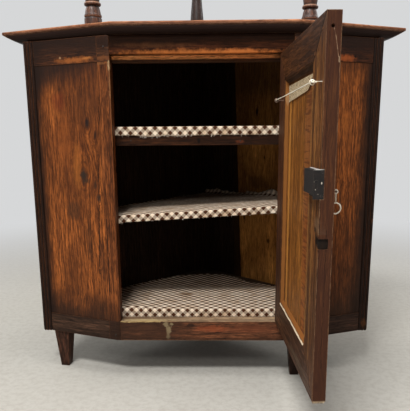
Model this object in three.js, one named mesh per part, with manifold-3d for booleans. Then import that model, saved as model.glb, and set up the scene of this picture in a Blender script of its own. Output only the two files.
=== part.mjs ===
// Corner cupboard base: a shallow three-facet front with one framed door, two canted wings ending in
// reeded posts, two board back walls meeting at the rear, two lined shelves and three turned columns.
// Millimetres, +Z up. While the parts are drawn, X runs across the front, the front plane is y = 0,
// y grows toward the rear corner and the floor is z = 0.
import * as THREE from 'three';
import { mergeVertices } from 'three/addons/utils/BufferGeometryUtils.js';
import Module from 'manifold-3d';

const wasm = await Module();
wasm.setup();

// Clearances
const clearance = 0.3;          // gap between pieces that touch
const overrun = 5;              // how far a cut runs past the face it opens

// Carcase sizes
const legHeight = 112;
const bodyHeight = 800;         // underside of the rails to underside of the top
const jambHalf = 230;           // half the door opening
const stileFace = 10;           // straight face of a stile, from the door opening to the kink
const wingRun = 206;            // how far a wing reaches sideways
const wingRise = 79;            // how far a wing falls back over that reach
const wingThickness = 20;
const panelRecess = 1.2;        // wing panels lie this much behind their rails
const postWidth = 26;
const postDepth = 24;
const reedDepth = 2.6;
const reedCount = 3;
const postFootRadius = 7;
const stileReturn = 24;         // how far a stile runs round onto its wing
const stileDepth = 30;
const kinkSoftening = 2.5;      // worn corner where front and wing meet
const boardThickness = 18;
const topThickness = 28;
const railHeight = 55;
const railDepth = 46;
const friezeHeight = 62;        // over the wings, and down to the door stop at the front
const friezeDepth = 27;
const doorRebateHeight = 16;    // the front frieze stops short by this much, and the door laps the stop
const headStopDepth = 22;

// Top board sizes
const topFrontLap = 18;         // overhang past the front
const topKinkIn = 9;            // kinks of the top, nearer the middle than those of the front
const topKinkShift = 8;         // the straight front of the top sits this much to the right
const topSideLap = 62;          // overhang of the tips past the posts
const topTipBack = 25;          // tips behind the faces of the posts
const noseHeight = 9;
const noseBack = 2.5;
const noseRound = 3;
const ovoloBack = 13;
const ovoloShare = 0.8;         // how far down the hollow turns in
const tipThickness = 7;
const tipBevelLength = 52;
const edgeRunOn = 52;           // how far an edge's cut runs past the corners

// Shelf sizes
const bottomThickness = 22;
const middleThickness = 17;
const upperThickness = 21;
const bottomFrontGap = 2.5;     // behind the backs of the stiles
const shelfSetback = 8;         // fronts of the two shelves, behind the backs of the stiles
const middleHeight = 355.5;      // top of the middle shelf at its centre, above the rails' underside
const middleSlope = Math.tan(THREE.MathUtils.degToRad(3.3));
const upperHeight = 578;        // top of the upper shelf, above the rails' underside
const upperRailHeight = 26;
const upperRailDepth = 18;
const cleatSize = 20;
const cleatCornerGap = 60;      // cleats stop this far short of the rear corner
const cleatFrontGap = 80;       // and start this far from the stiles
const bottomCleatStart = 85;    // the bottom cleats start behind the front legs
const cornerCleatStart = 12;    // the others start in the corners beside the posts
const shelfEdgeGap = 1.5;       // between a shelf and the walls

// Cloth sizes
const clothThickness = 1.4;
const clothWallGap = 9;
const bottomClothDrop = 21;
const middleClothDrop = 18;
const upperClothDrop = 21;
const bottomClothCut = 92;        // the bottom cloth's rear corner is cut off this far from its tip

// Leg sizes
const legTopWidth = 43;
const legFootWidth = 24;
const legStubWidth = 24;
const legSetback = 4;           // front faces of the legs behind the faces of the rails
const leftLegIn = 32;           // left leg, from the inner edge of its post
const leftLegTurn = THREE.MathUtils.degToRad(-10);
const leftStubShift = 20;       // the stub of the left leg stands this much nearer the middle
const rightLegOut = 16;         // right leg, past the kink
const rightStubShift = -12;

// Column sizes
const leftColumnOut = 39.5;     // left column, past the left kink
const leftColumnY = 66;
const rightColumnOut = 45.5;    // right column, past the right kink
const rightColumnY = 125;
const rearColumnX = -26;
const rearColumnIn = 81;        // rear column, from the rear corner of the back walls
const columnHeight = 200;
const columnSides = 20;
const columnFootRadius = 22.4;
const columnFootHeight = 23;
const columnGrooveRadius = 20.8;
const columnGrooveHeight = 3;
const columnBeadRadius = 22;
const columnBeadHeight = 5;
const columnWaistRadius = 15.7;
const columnBellHeight = 21;
const columnRingRadius = 21.2;
const columnRingHeight = 10;
const columnFilletRadius = 17.7;
const columnFilletHeight = 4;
const columnVaseRadius = 21.2;
const columnVaseRise = 32;      // widest place of the vase, above the fillet
const columnNeckRadius = 15.6;
const columnNeckHeight = 10;
const columnCollarRadius = 19;
const columnCollarHeight = 8;
const columnCapHeight = 13;
const bellBendShare = 0.5;      // bend of the bell, of its height
const ringRoundShare = 0.2;     // rounding of the ring and collar, of their height

// Door sizes
const doorThickness = 26;
const doorAngle = THREE.MathUtils.degToRad(92.6);
const doorGapHinge = 2.8;
const doorGapFree = 3;
const doorGapBottom = 4;
const doorGapTop = 3;
const hingeStileWidth = 82;
const freeStileWidth = 100;
const topRailWidth = 80;
const bottomRailWidth = 86;
const mitreGap = 0.45;
const panelThickness = 8;
const panelTongue = 7;
const panelDrop = 9;            // panel surface below the frame's inner face
const frameChamfer = 12;
const nailHoleRadius = 3;
const nailHoleDepth = 7;
const nailHoleBelowTop = 25;
const nailHoleIn = 11;
const oldMortiseHeight = 19;
const oldMortiseWidth = 18;
const oldMortiseDepth = 3.5;
const oldMortiseZ = 363;        // its middle, above the rails' underside

// Hinge sizes
const pinRadius = 2;
const pinBore = 2.35;
const knuckleRadius = 4.5;
const pinHeadShare = 0.8;       // pin head, as a share of the knuckle
const knuckleProud = 5;         // pin axis in front of the door's face
const pinInset = 1.2;           // and inside the door's hinge edge
const hingeHeight = 62;
const hingeLeafWidth = 22;
const hingeLeafThickness = 1.5;
const hingeEndDistance = 90;    // from the door's ends to the middles of the hinges
const knuckleGap = 0.4;
const roundSides = 16;

// Lock sizes
const lockZ = 469;              // middle, above the rails' underside
const lockHeight = 52;
const lockWidth = 78;
const lockPlateThickness = 1.6;
const lockCaseHeight = 43;
const lockCaseDepth = 10;
const lockWall = 1.4;
const selvedgeLap = 6.5;        // how far the edge plate turns onto the door's edge, let in flush
const boltHeight = 14;
const boltThickness = 4.5;
const boltLength = 52;
const boltClearance = 0.5;
const boltThrow = 9;
const keyholeRadius = 4.2;
const keyholeSlotWidth = 4.4;
const keyholeSlotHeight = 10;
const keyPlateWidth = 26;
const keyPlateHeight = 34;
const keyPlateThickness = 1.4;
const keyPlateLift = 6;         // plate's middle above the lock's middle

// Pull sizes
const stapleBelowLock = 16;
const stapleReach = 12.5;
const stapleHalfWidth = 5;
const stapleWire = 1.2;
const stapleDepth = 10;
const pullWire = 1.3;
const pullEyeWire = 1.15;
const pullEyeRadius = 3.2;
const pullShankLength = 17;
const pullRingRadius = 10;

// Curtain wire sizes
const wireRadius = 1.1;
const wireHookIn = 62;          // hook, from the hinge edge of the door
const wireEyeIn = 55.4;         // eye, from the free edge of the door
const wireHookDrop = 114;       // hook and eye, below the door's top edge
const wireEyeDrop = 106;
const wireHookReach = 17;
const wireEyeReach = 8;
const wireTailReach = 2.2;
const wireTailDrop = 5;
const wireTailRadius = 0.9;
const wireKnotRadius = 3.6;
const fittingRadius = 1.3;
const fittingDepth = 8;
const eyeRadius = 4.2;
const tapeWidth = 37;
const tapeFreeWidth = 27;       // where the torn end starts
const tapeThickness = 1.2;
const tapeDrop = 5;             // below the inner edge of the top rail
const tapeEndGap = 10;
const tapeTornEnd = 46;
const tapeTornShare = 0.7;      // where the torn end bends, of the tape's width

// Colours
const oakRed = { color: 0x6a3417, roughness: 0.45, metalness: 0 };
const oakDark = { color: 0x3c2013, roughness: 0.5, metalness: 0 };
const oakBrown = { color: 0x7c5230, roughness: 0.55, metalness: 0 };
const honeyWood = { color: 0xa8763c, roughness: 0.55, metalness: 0 };
const shadeWood = { color: 0x3a2a1e, roughness: 0.75, metalness: 0 };
const pineWood = { color: 0xa9793f, roughness: 0.7, metalness: 0 };
const gingham = { color: 0xcdb9a6, roughness: 0.95, metalness: 0 };
const blackIron = { color: 0x26211f, roughness: 0.5, metalness: 0.8 };
const paleMetal = { color: 0xd8cfc0, roughness: 0.4, metalness: 0.3 };
const creamTape = { color: 0xd9cfa8, roughness: 0.9, metalness: 0 };

// Derived places
const bodyBottom = legHeight;
const bodyTop = legHeight + bodyHeight;
const topSurface = bodyTop + topThickness;
const wingAngle = Math.atan2(wingRise, wingRun);
const wingLength = Math.hypot(wingRun, wingRise);
const frontHalf = jambHalf + stileFace;
const postInnerX = frontHalf + wingRun;
const postOuterX = postInnerX + postWidth;
const wallSum = postOuterX + wingRise;
const wallDiagonal = Math.SQRT1_2;
const topKinkHalf = frontHalf - topKinkIn;
const topTipHalf = postOuterX + topSideLap;
const topTipY = wingRise + topTipBack;
const leftLegX = leftLegIn - postInnerX;
const rightLegX = frontHalf + rightLegOut;
const leftColumnX = -frontHalf - leftColumnOut;
const rightColumnX = frontHalf + rightColumnOut;
const rearColumnY = wallSum - rearColumnIn;
const wingRailTop = bodyBottom + railHeight;
const headBottom = bodyTop - friezeHeight;

// Point on the right wing: distance from the kink along the wing, and depth behind its face.
function wingPoint(along, inward) {
  const x = frontHalf + along * Math.cos(wingAngle) - inward * Math.sin(wingAngle);
  const y = along * Math.sin(wingAngle) + inward * Math.cos(wingAngle);
  return [x, y];
}

const postBack = wingPoint(wingLength, postDepth);
const wallStartShift = (wallSum - postBack[0] - postBack[1]) / 2;
const wallStart = [postBack[0] + wallStartShift, postBack[1] + wallStartShift];

// Point on the right back wall: distance from the post along the wall, and depth inside its outer face.
function wallPoint(along, inward) {
  const x = wallStart[0] - (along + inward) * wallDiagonal;
  const y = wallStart[1] + (along - inward) * wallDiagonal;
  return [x, y];
}

const stileBackY = wingPoint(stileReturn, stileDepth)[1];
const bottomFrontY = stileBackY + bottomFrontGap;
const shelfFrontY = stileBackY + shelfSetback;

// Shapes and booleans
function flip(points, side) {
  return points.map(([x, y]) => [side * x, y]);
}

function outline(points) {
  return new THREE.Shape(points.map(([x, y]) => new THREE.Vector2(x, y)));
}

// Prism standing on z = bottom over an outline of x and y.
function upright(points, bottom, height) {
  const geometry = new THREE.ExtrudeGeometry(outline(points), { depth: height, bevelEnabled: false });
  return geometry.translate(0, 0, bottom);
}

// Prism running back from y = front over an outline of x and z.
function runBack(points, front, depth) {
  const geometry = new THREE.ExtrudeGeometry(outline(points), { depth, bevelEnabled: false });
  return geometry.rotateX(Math.PI / 2).translate(0, front + depth, 0);
}

// Prism running sideways from x = start over an outline of y and z.
function runAcross(points, start, length) {
  const geometry = new THREE.ExtrudeGeometry(outline(points), { depth: length, bevelEnabled: false });
  return geometry.rotateY(Math.PI / 2).rotateX(Math.PI / 2).translate(start, 0, 0);
}

function block(x0, x1, y0, y1, z0, z1) {
  const geometry = new THREE.BoxGeometry(x1 - x0, y1 - y0, z1 - z0);
  return geometry.translate((x0 + x1) / 2, (y0 + y1) / 2, (z0 + z1) / 2);
}

function rodUp(radius, x, y, z0, z1, sides = roundSides) {
  const geometry = new THREE.CylinderGeometry(radius, radius, z1 - z0, sides);
  return geometry.rotateX(Math.PI / 2).translate(x, y, (z0 + z1) / 2);
}

function rodBack(radius, x, z, y0, y1, sides = roundSides) {
  const geometry = new THREE.CylinderGeometry(radius, radius, y1 - y0, sides);
  return geometry.translate(x, (y0 + y1) / 2, z);
}

function rodAcross(radius, y, z, x0, x1, sides = roundSides) {
  const geometry = new THREE.CylinderGeometry(radius, radius, x1 - x0, sides);
  return geometry.rotateZ(Math.PI / 2).translate((x0 + x1) / 2, y, z);
}

function tube(points, radius, sides = 8, steps = 24) {
  const curve = new THREE.CatmullRomCurve3(points.map((p) => new THREE.Vector3(...p)));
  const circle = [];
  for (let i = 0; i < sides; i += 1) {
    const angle = (2 * Math.PI * i) / sides;
    circle.push([radius * Math.cos(angle), radius * Math.sin(angle)]);
  }
  return new THREE.ExtrudeGeometry(outline(circle), { steps, bevelEnabled: false, extrudePath: curve });
}

function solidOf(geometry) {
  const bare = geometry.clone();
  bare.deleteAttribute('normal');
  bare.deleteAttribute('uv');
  const merged = mergeVertices(bare);
  const mesh = new wasm.Mesh({
    numProp: 3,
    vertProperties: new Float32Array(merged.attributes.position.array),
    triVerts: new Uint32Array(merged.index.array),
  });
  return new wasm.Manifold(mesh);
}

function geometryOf(solid) {
  const mesh = solid.getMesh();
  const geometry = new THREE.BufferGeometry();
  geometry.setAttribute('position', new THREE.BufferAttribute(new Float32Array(mesh.vertProperties), 3));
  geometry.setIndex(new THREE.BufferAttribute(new Uint32Array(mesh.triVerts), 1));
  geometry.computeVertexNormals();
  return geometry;
}

function cut(geometry, ...cutters) {
  return geometryOf(cutters.reduce((solid, cutter) => solid.subtract(solidOf(cutter)), solidOf(geometry)));
}

function join(...geometries) {
  return geometryOf(geometries.map(solidOf).reduce((sum, solid) => sum.add(solid)));
}

function common(first, second) {
  return geometryOf(solidOf(first).intersect(solidOf(second)));
}

const cupboard = new THREE.Group();
const doorGroup = new THREE.Group();

function addPiece(group, name, geometry, look) {
  const mesh = new THREE.Mesh(geometry, new THREE.MeshStandardMaterial(look));
  mesh.name = name;
  group.add(mesh);
}

// Stiles: the upright corners beside the door, each running round onto its wing.
const doorBottom = wingRailTop + doorGapBottom;
const doorTop = headBottom + doorRebateHeight - doorGapTop;
const hingeMiddles = { upper: doorTop - hingeEndDistance, lower: doorBottom + hingeEndDistance };
const pinX = jambHalf - doorGapHinge - pinInset;
const pinY = -knuckleProud;
const boltY = doorThickness + 2 * clearance + lockPlateThickness + lockCaseDepth / 2;
const boltPocketSlack = 1.5;
const boltPocketDepth = boltThrow + boltPocketSlack;

function stile(side) {
  const [wingX, wingY] = wingPoint(stileReturn, 0);
  const [backX, backY] = wingPoint(stileReturn, stileDepth);
  const soft = wingPoint(kinkSoftening, 0);
  const points = [
    [jambHalf, 0],
    [frontHalf - kinkSoftening, 0],
    soft,
    [wingX, wingY],
    [backX, backY],
    [jambHalf, backY],
  ];
  return upright(flip(points, side), bodyBottom, bodyHeight - clearance);
}

function leafPocket(middle) {
  const depth = hingeLeafThickness + clearance;
  return block(
    jambHalf - overrun,
    jambHalf + depth,
    -overrun,
    hingeLeafWidth + clearance,
    middle - hingeHeight / 2 - clearance,
    middle + hingeHeight / 2 + clearance,
  );
}

const boltPocket = block(
  -jambHalf - boltPocketDepth,
  -jambHalf + overrun,
  boltY - boltThickness / 2 - boltPocketSlack,
  boltY + boltThickness / 2 + boltPocketSlack,
  bodyBottom + lockZ - boltHeight / 2 - boltPocketSlack,
  bodyBottom + lockZ + boltHeight / 2 + boltPocketSlack,
);
addPiece(cupboard, 'stile_left', cut(stile(-1), boltPocket), oakRed);
addPiece(
  cupboard,
  'stile_right',
  cut(stile(1), leafPocket(hingeMiddles.upper), leafPocket(hingeMiddles.lower)),
  oakRed,
);

// Wings: base rail, panel and frieze between the stile and the post.
function wingBoard(side, front, back, bottom, top) {
  const start = stileReturn + clearance;
  const end = wingLength - clearance;
  const points = [
    wingPoint(start, front),
    wingPoint(end, front),
    wingPoint(end, back),
    wingPoint(start, back),
  ];
  return upright(flip(points, side), bottom, top - bottom);
}

for (const [word, side] of [['left', -1], ['right', 1]]) {
  const base = wingBoard(side, 0, wingThickness, bodyBottom, wingRailTop - clearance);
  const panel = wingBoard(side, panelRecess, wingThickness, wingRailTop, headBottom - clearance);
  const frieze = wingBoard(side, 0, wingThickness, headBottom, bodyTop - clearance);
  addPiece(cupboard, `base_rail_${word}`, base, oakDark);
  addPiece(cupboard, `wing_panel_${word}`, panel, oakRed);
  addPiece(cupboard, `frieze_${word}`, frieze, oakDark);
}

// Posts: reeded uprights at the outer ends, their outer lower corners rounded off.
function post(side) {
  const steps = 5;
  const points = [];
  const left = postInnerX + clearance;
  const reed = (postOuterX - left) / reedCount;
  for (let k = 0; k < reedCount; k += 1) {
    for (let i = 0; i <= steps; i += 1) {
      const share = i / steps;
      if (k > 0 && i === 0) continue;
      points.push([left + (k + share) * reed, wingRise + reedDepth * (1 - Math.sin(Math.PI * share))]);
    }
  }
  points.push(wallStart, [postBack[0] + clearance, postBack[1]]);
  const blank = upright(flip(points, side), bodyBottom, bodyHeight - clearance);
  const inner = postInnerX - 2 * postDepth;
  const face = new THREE.Shape();
  face.moveTo(side * inner, bodyBottom);
  face.lineTo(side * (postOuterX - postFootRadius), bodyBottom);
  face.quadraticCurveTo(side * postOuterX, bodyBottom, side * postOuterX, bodyBottom + postFootRadius);
  face.lineTo(side * postOuterX, bodyTop);
  face.lineTo(side * inner, bodyTop);
  const rounded = new THREE.ExtrudeGeometry(face, {
    depth: 4 * postDepth,
    bevelEnabled: false,
    curveSegments: 5,
  });
  rounded.rotateX(Math.PI / 2).translate(0, wingRise + 3 * postDepth, 0);
  return common(blank, rounded);
}

addPiece(cupboard, 'post_left', post(-1), oakDark);
addPiece(cupboard, 'post_right', post(1), oakDark);

// Front rails and the stop that the top of the door closes against.
const railEnd = jambHalf - clearance;
addPiece(
  cupboard,
  'base_rail_front',
  block(-railEnd, railEnd, 0, railDepth, bodyBottom, wingRailTop),
  oakRed,
);
addPiece(
  cupboard,
  'frieze_front',
  block(-railEnd, railEnd, 0, friezeDepth, headBottom + doorRebateHeight, bodyTop - clearance),
  oakDark,
);
addPiece(
  cupboard,
  'head_stop',
  block(
    -railEnd,
    railEnd,
    friezeDepth + clearance,
    friezeDepth + headStopDepth,
    headBottom,
    bodyTop - clearance,
  ),
  oakBrown,
);

// Back walls: vertical boards, the last of each side meeting at the rear corner.
const wallLength = wallStart[0] / wallDiagonal;
const boardShares = { left: [0, 0.33, 0.66, 1], right: [0, 0.32, 0.75, 1] };

function backBoard(side, from, to, last) {
  const start = from + clearance;
  const endOuter = last ? to - clearance / wallDiagonal : to - clearance;
  const endInner = last ? endOuter - boardThickness : endOuter;
  const points = [
    wallPoint(start, 0),
    wallPoint(start, boardThickness),
    wallPoint(endInner, boardThickness),
    wallPoint(endOuter, 0),
  ];
  return upright(flip(points, side), bodyBottom, bodyHeight - clearance);
}

for (const [word, side] of [['left', -1], ['right', 1]]) {
  const shares = boardShares[word];
  for (let i = 0; i + 1 < shares.length; i += 1) {
    const from = shares[i] * wallLength;
    const to = shares[i + 1] * wallLength;
    const look = word === 'right' && i === 1 ? pineWood : shadeWood;
    const board = backBoard(side, from, to, i + 2 === shares.length);
    addPiece(cupboard, `back_board_${word}_${i + 1}`, board, look);
  }
}

// Shelves: five-sided boards between the front, the wings and the back walls.
function shelfOutline(frontY, gap) {
  const depth = wingThickness + gap;
  const wallInner = wallSum - (boardThickness + gap) / wallDiagonal;
  const alongFront = (frontY - depth * Math.cos(wingAngle)) / Math.sin(wingAngle);
  const frontCorner = wingPoint(alongFront, depth);
  const zero = wingPoint(0, depth);
  const alongSide = (wallInner - zero[0] - zero[1]) / (Math.cos(wingAngle) + Math.sin(wingAngle));
  const sideCorner = wingPoint(alongSide, depth);
  const right = [frontCorner, sideCorner];
  const left = flip(right, -1).reverse();
  return [...right, [0, wallInner], ...left];
}

const slopeMatrix = new THREE.Matrix4();
slopeMatrix.elements[2] = middleSlope;

function sloped(geometry) {
  return geometry.applyMatrix4(slopeMatrix);
}

const bottomTop = wingRailTop + clearance + bottomThickness;
const middleTop = bodyBottom + middleHeight;
const upperTop = bodyBottom + upperHeight;
addPiece(
  cupboard,
  'bottom_board',
  upright(shelfOutline(bottomFrontY, shelfEdgeGap), bottomTop - bottomThickness, bottomThickness),
  oakBrown,
);
addPiece(
  cupboard,
  'shelf_middle',
  sloped(upright(shelfOutline(shelfFrontY, shelfEdgeGap), middleTop - middleThickness, middleThickness)),
  oakBrown,
);
addPiece(
  cupboard,
  'shelf_upper',
  upright(shelfOutline(shelfFrontY, shelfEdgeGap), upperTop - upperThickness, upperThickness),
  oakBrown,
);

const upperRailTop = upperTop - upperThickness - clearance;
const upperRailSide = wingThickness + clearance;
const upperRailAlong = (shelfFrontY - upperRailSide * Math.cos(wingAngle)) / Math.sin(wingAngle);
const upperRailEnd = wingPoint(upperRailAlong, upperRailSide)[0] - clearance;
addPiece(
  cupboard,
  'shelf_upper_rail',
  block(
    -upperRailEnd,
    upperRailEnd,
    shelfFrontY,
    shelfFrontY + upperRailDepth,
    upperRailTop - upperRailHeight,
    upperRailTop,
  ),
  oakBrown,
);

// Cleats: bars fixed along the back walls and the wings, under the boards that they carry.
const wallCleatDepth = boardThickness + clearance;
const wingCleatDepth = wingThickness + clearance;

function wallCleat(side, start, top) {
  const end = wallLength - cleatCornerGap;
  const points = [
    wallPoint(start, wallCleatDepth),
    wallPoint(end, wallCleatDepth),
    wallPoint(end, wallCleatDepth + cleatSize),
    wallPoint(start, wallCleatDepth + cleatSize),
  ];
  return upright(flip(points, side), top - cleatSize, cleatSize);
}

function wingCleat(side, top) {
  const end = wingLength - boardThickness;
  const points = [
    wingPoint(cleatFrontGap, wingCleatDepth),
    wingPoint(end, wingCleatDepth),
    wingPoint(end, wingCleatDepth + cleatSize),
    wingPoint(cleatFrontGap, wingCleatDepth + cleatSize),
  ];
  return upright(flip(points, side), top - cleatSize, cleatSize);
}

function cornerCleat(side, top) {
  return join(wallCleat(side, cornerCleatStart, top), wingCleat(side, top));
}

for (const [word, side] of [['left', -1], ['right', 1]]) {
  const bottomCleat = wallCleat(side, bottomCleatStart, bottomTop - bottomThickness - clearance);
  const middleCleat = sloped(cornerCleat(side, middleTop - middleThickness - clearance));
  const upperCleat = cornerCleat(side, upperTop - upperThickness - clearance);
  addPiece(cupboard, `bottom_cleat_${word}`, bottomCleat, shadeWood);
  addPiece(cupboard, `middle_cleat_${word}`, middleCleat, shadeWood);
  addPiece(cupboard, `upper_cleat_${word}`, upperCleat, shadeWood);
}

// Cloth covers: a sheet over each board, turned down over its front edge.
function clothOutline(frontY, cornerCut) {
  const outline = shelfOutline(frontY, clothWallGap);
  const tip = outline[2][1];
  const cutCorner = [[cornerCut, tip - cornerCut], [-cornerCut, tip - cornerCut]];
  return cornerCut ? [...outline.slice(0, 2), ...cutCorner, ...outline.slice(3)] : outline;
}

function cover(frontY, top, drop, cornerCut = 0) {
  const faceY = frontY - clearance;
  const sheet = upright(
    clothOutline(faceY - clothThickness, cornerCut),
    top + clearance,
    clothThickness,
  );
  const endX = shelfOutline(frontY, clothWallGap)[0][0];
  const flap = block(
    -endX,
    endX,
    faceY - clothThickness,
    faceY,
    top - drop,
    top + clearance + clothThickness / 2,
  );
  return join(sheet, flap);
}

const bottomCover = cover(bottomFrontY, bottomTop, bottomClothDrop, bottomClothCut);
addPiece(cupboard, 'cloth_bottom', bottomCover, gingham);
addPiece(cupboard, 'cloth_middle', sloped(cover(shelfFrontY, middleTop, middleClothDrop)), gingham);
addPiece(cupboard, 'cloth_upper', cover(shelfFrontY, upperTop, upperClothDrop), gingham);

// Legs: square tapered legs, each with a stub behind the rails that it carries.
function leg(x, y, turn, stubX, stubY, stubTurn) {
  const height = legHeight - clearance;
  const topRadius = legTopWidth * wallDiagonal;
  const footRadius = legFootWidth * wallDiagonal;
  const taper = new THREE.CylinderGeometry(topRadius, footRadius, height, 4);
  taper.rotateY(Math.PI / 4).rotateX(Math.PI / 2).translate(0, 0, height / 2);
  taper.rotateZ(turn).translate(x, y, 0);
  const half = legStubWidth / 2;
  const stub = block(-half, half, -half, half, height - overrun, wingRailTop);
  stub.rotateZ(stubTurn).translate(stubX, stubY, 0);
  return join(taper, stub);
}

// Depth of a leg's middle at a given x, its front face a little behind the wing's.
function legY(x) {
  const inward = legSetback + legTopWidth / 2;
  const along = (Math.abs(x) - frontHalf + inward * Math.sin(wingAngle)) / Math.cos(wingAngle);
  return wingPoint(along, inward)[1];
}

// Depth of the back of a wing at a given x.
function wingBackY(x) {
  const along = (Math.abs(x) - frontHalf + wingThickness * Math.sin(wingAngle)) / Math.cos(wingAngle);
  return wingPoint(along, wingThickness)[1];
}

const leftStubX = leftLegX + leftStubShift;
const leftStubY = wingBackY(leftStubX - legStubWidth / 2) + legStubWidth / 2 + clearance;
const rightStubX = rightLegX + rightStubShift;
const rightStubY = stileBackY + legStubWidth / 2 + clearance;
const rearLegY = wallSum - legTopWidth * wallDiagonal;
const rearStubY = wallSum - (boardThickness + 2 * clearance + legStubWidth / 2) / wallDiagonal;
addPiece(
  cupboard,
  'leg_left',
  leg(leftLegX, legY(leftLegX), leftLegTurn, leftStubX, leftStubY, 0),
  oakRed,
);
addPiece(
  cupboard,
  'leg_right',
  leg(rightLegX, legY(rightLegX), 0, rightStubX, rightStubY, 0),
  oakRed,
);
addPiece(
  cupboard,
  'leg_rear',
  leg(0, rearLegY, Math.PI / 4, 0, rearStubY, Math.PI / 4),
  oakDark,
);

// Top board: a flat board with a nosed edge, hollowed back underneath, and thinned at its two tips.
const topApexY = topTipHalf + topTipY;
const topOutline = [
  [topKinkShift - topKinkHalf, -topFrontLap],
  [topKinkShift + topKinkHalf, -topFrontLap],
  [topTipHalf, topTipY],
  [0, topApexY],
  [-topTipHalf, topTipY],
];

// Cutter along one edge of the top: the space outside its nose and hollowed underside.
function edgeCutter(from, to) {
  const length = Math.hypot(to[0] - from[0], to[1] - from[1]);
  const [dx, dy] = [(to[0] - from[0]) / length, (to[1] - from[1]) / length];
  const section = new THREE.Shape();
  section.moveTo(-overrun, overrun);
  section.lineTo(-overrun, -topThickness - overrun);
  section.lineTo(noseBack + ovoloBack, -topThickness - overrun);
  section.lineTo(noseBack + ovoloBack, -topThickness);
  section.quadraticCurveTo(noseBack, -topThickness * ovoloShare, noseBack, -noseHeight);
  section.lineTo(0, -noseHeight + noseRound / 2);
  section.lineTo(0, -noseRound);
  section.quadraticCurveTo(0, 0, noseRound, 0);
  section.lineTo(noseRound, overrun);
  const cutter = new THREE.ExtrudeGeometry(section, {
    depth: length + 2 * edgeRunOn,
    bevelEnabled: false,
    curveSegments: 5,
  });
  cutter.translate(0, 0, -edgeRunOn);
  const frame = new THREE.Matrix4().makeBasis(
    new THREE.Vector3(-dy, dx, 0),
    new THREE.Vector3(0, 0, 1),
    new THREE.Vector3(dx, dy, 0),
  );
  frame.setPosition(from[0], from[1], topSurface);
  return cutter.applyMatrix4(frame);
}

function tipCutter(side) {
  const tip = topTipHalf;
  const face = new THREE.Shape();
  face.moveTo(side * (tip + overrun), -topThickness - overrun);
  face.lineTo(side * (tip + overrun), -tipThickness);
  face.lineTo(side * tip, -tipThickness);
  face.quadraticCurveTo(
    side * (tip - tipBevelLength / 2),
    -topThickness * ovoloShare,
    side * (tip - tipBevelLength),
    -topThickness,
  );
  face.lineTo(side * (tip - tipBevelLength), -topThickness - overrun);
  const cutter = new THREE.ExtrudeGeometry(face, {
    depth: topApexY,
    bevelEnabled: false,
    curveSegments: 6,
  });
  return cutter.rotateX(Math.PI / 2).translate(0, topApexY, topSurface);
}

const topBlank = upright(topOutline, bodyTop, topThickness);
addPiece(
  cupboard,
  'top_board',
  cut(
    topBlank,
    edgeCutter(topOutline[0], topOutline[1]),
    edgeCutter(topOutline[1], topOutline[2]),
    edgeCutter(topOutline[4], topOutline[0]),
    tipCutter(-1),
    tipCutter(1),
  ),
  oakRed,
);

// Columns: turned supports for what once stood on the top, each a foot, a bell, a ring, a vase and a cap.
const columnBeadLow = columnFootHeight + columnGrooveHeight;
const columnBeadTop = columnBeadLow + columnBeadHeight;
const columnBellTop = columnBeadTop + columnBellHeight;
const columnRingTop = columnBellTop + columnRingHeight;
const columnFilletTop = columnRingTop + columnFilletHeight;
const columnCapLow = columnHeight - columnCapHeight;
const columnCollarTop = columnCapLow - columnNeckHeight;
const columnCollarLow = columnCollarTop - columnCollarHeight;
const vaseMiddle = (columnFilletTop + columnVaseRise + columnCollarLow) / 2;

const columnProfile = [
  [0, 0],
  [columnFootRadius, 0],
  [columnFootRadius, columnFootHeight],
  [columnGrooveRadius, columnFootHeight + columnGrooveHeight / 2],
  [columnBeadRadius, columnBeadLow],
  [columnBeadRadius, columnBeadTop],
  [(columnBeadRadius + columnWaistRadius) / 2, columnBeadTop + columnBellHeight * bellBendShare],
  [columnWaistRadius, columnBellTop],
  [columnRingRadius, columnBellTop + columnRingHeight * ringRoundShare],
  [columnRingRadius, columnRingTop - columnRingHeight * ringRoundShare],
  [columnFilletRadius, columnRingTop],
  [columnFilletRadius, columnFilletTop],
  [columnVaseRadius, columnFilletTop + columnVaseRise],
  [(columnVaseRadius + columnNeckRadius) / 2, vaseMiddle],
  [columnNeckRadius, columnCollarLow],
  [columnCollarRadius, columnCollarLow + columnCollarHeight * ringRoundShare],
  [columnCollarRadius, columnCollarTop - columnCollarHeight * ringRoundShare],
  [columnNeckRadius, columnCollarTop],
  [columnFootRadius, columnCapLow],
  [columnFootRadius, columnHeight],
  [0, columnHeight],
];

function column(x, y) {
  const points = columnProfile.map(([radius, height]) => new THREE.Vector2(radius, height));
  const geometry = new THREE.LatheGeometry(points, columnSides);
  return geometry.rotateX(Math.PI / 2).translate(x, y, topSurface + clearance);
}

addPiece(cupboard, 'column_left', column(leftColumnX, leftColumnY), oakDark);
addPiece(cupboard, 'column_right', column(rightColumnX, rightColumnY), oakDark);
addPiece(cupboard, 'column_rear', column(rearColumnX, rearColumnY), oakDark);

// Hinges: two butt hinges, the pins and outer knuckles on the frame, the middle knuckle on the door.
const thirdHeight = hingeHeight / 3;

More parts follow.
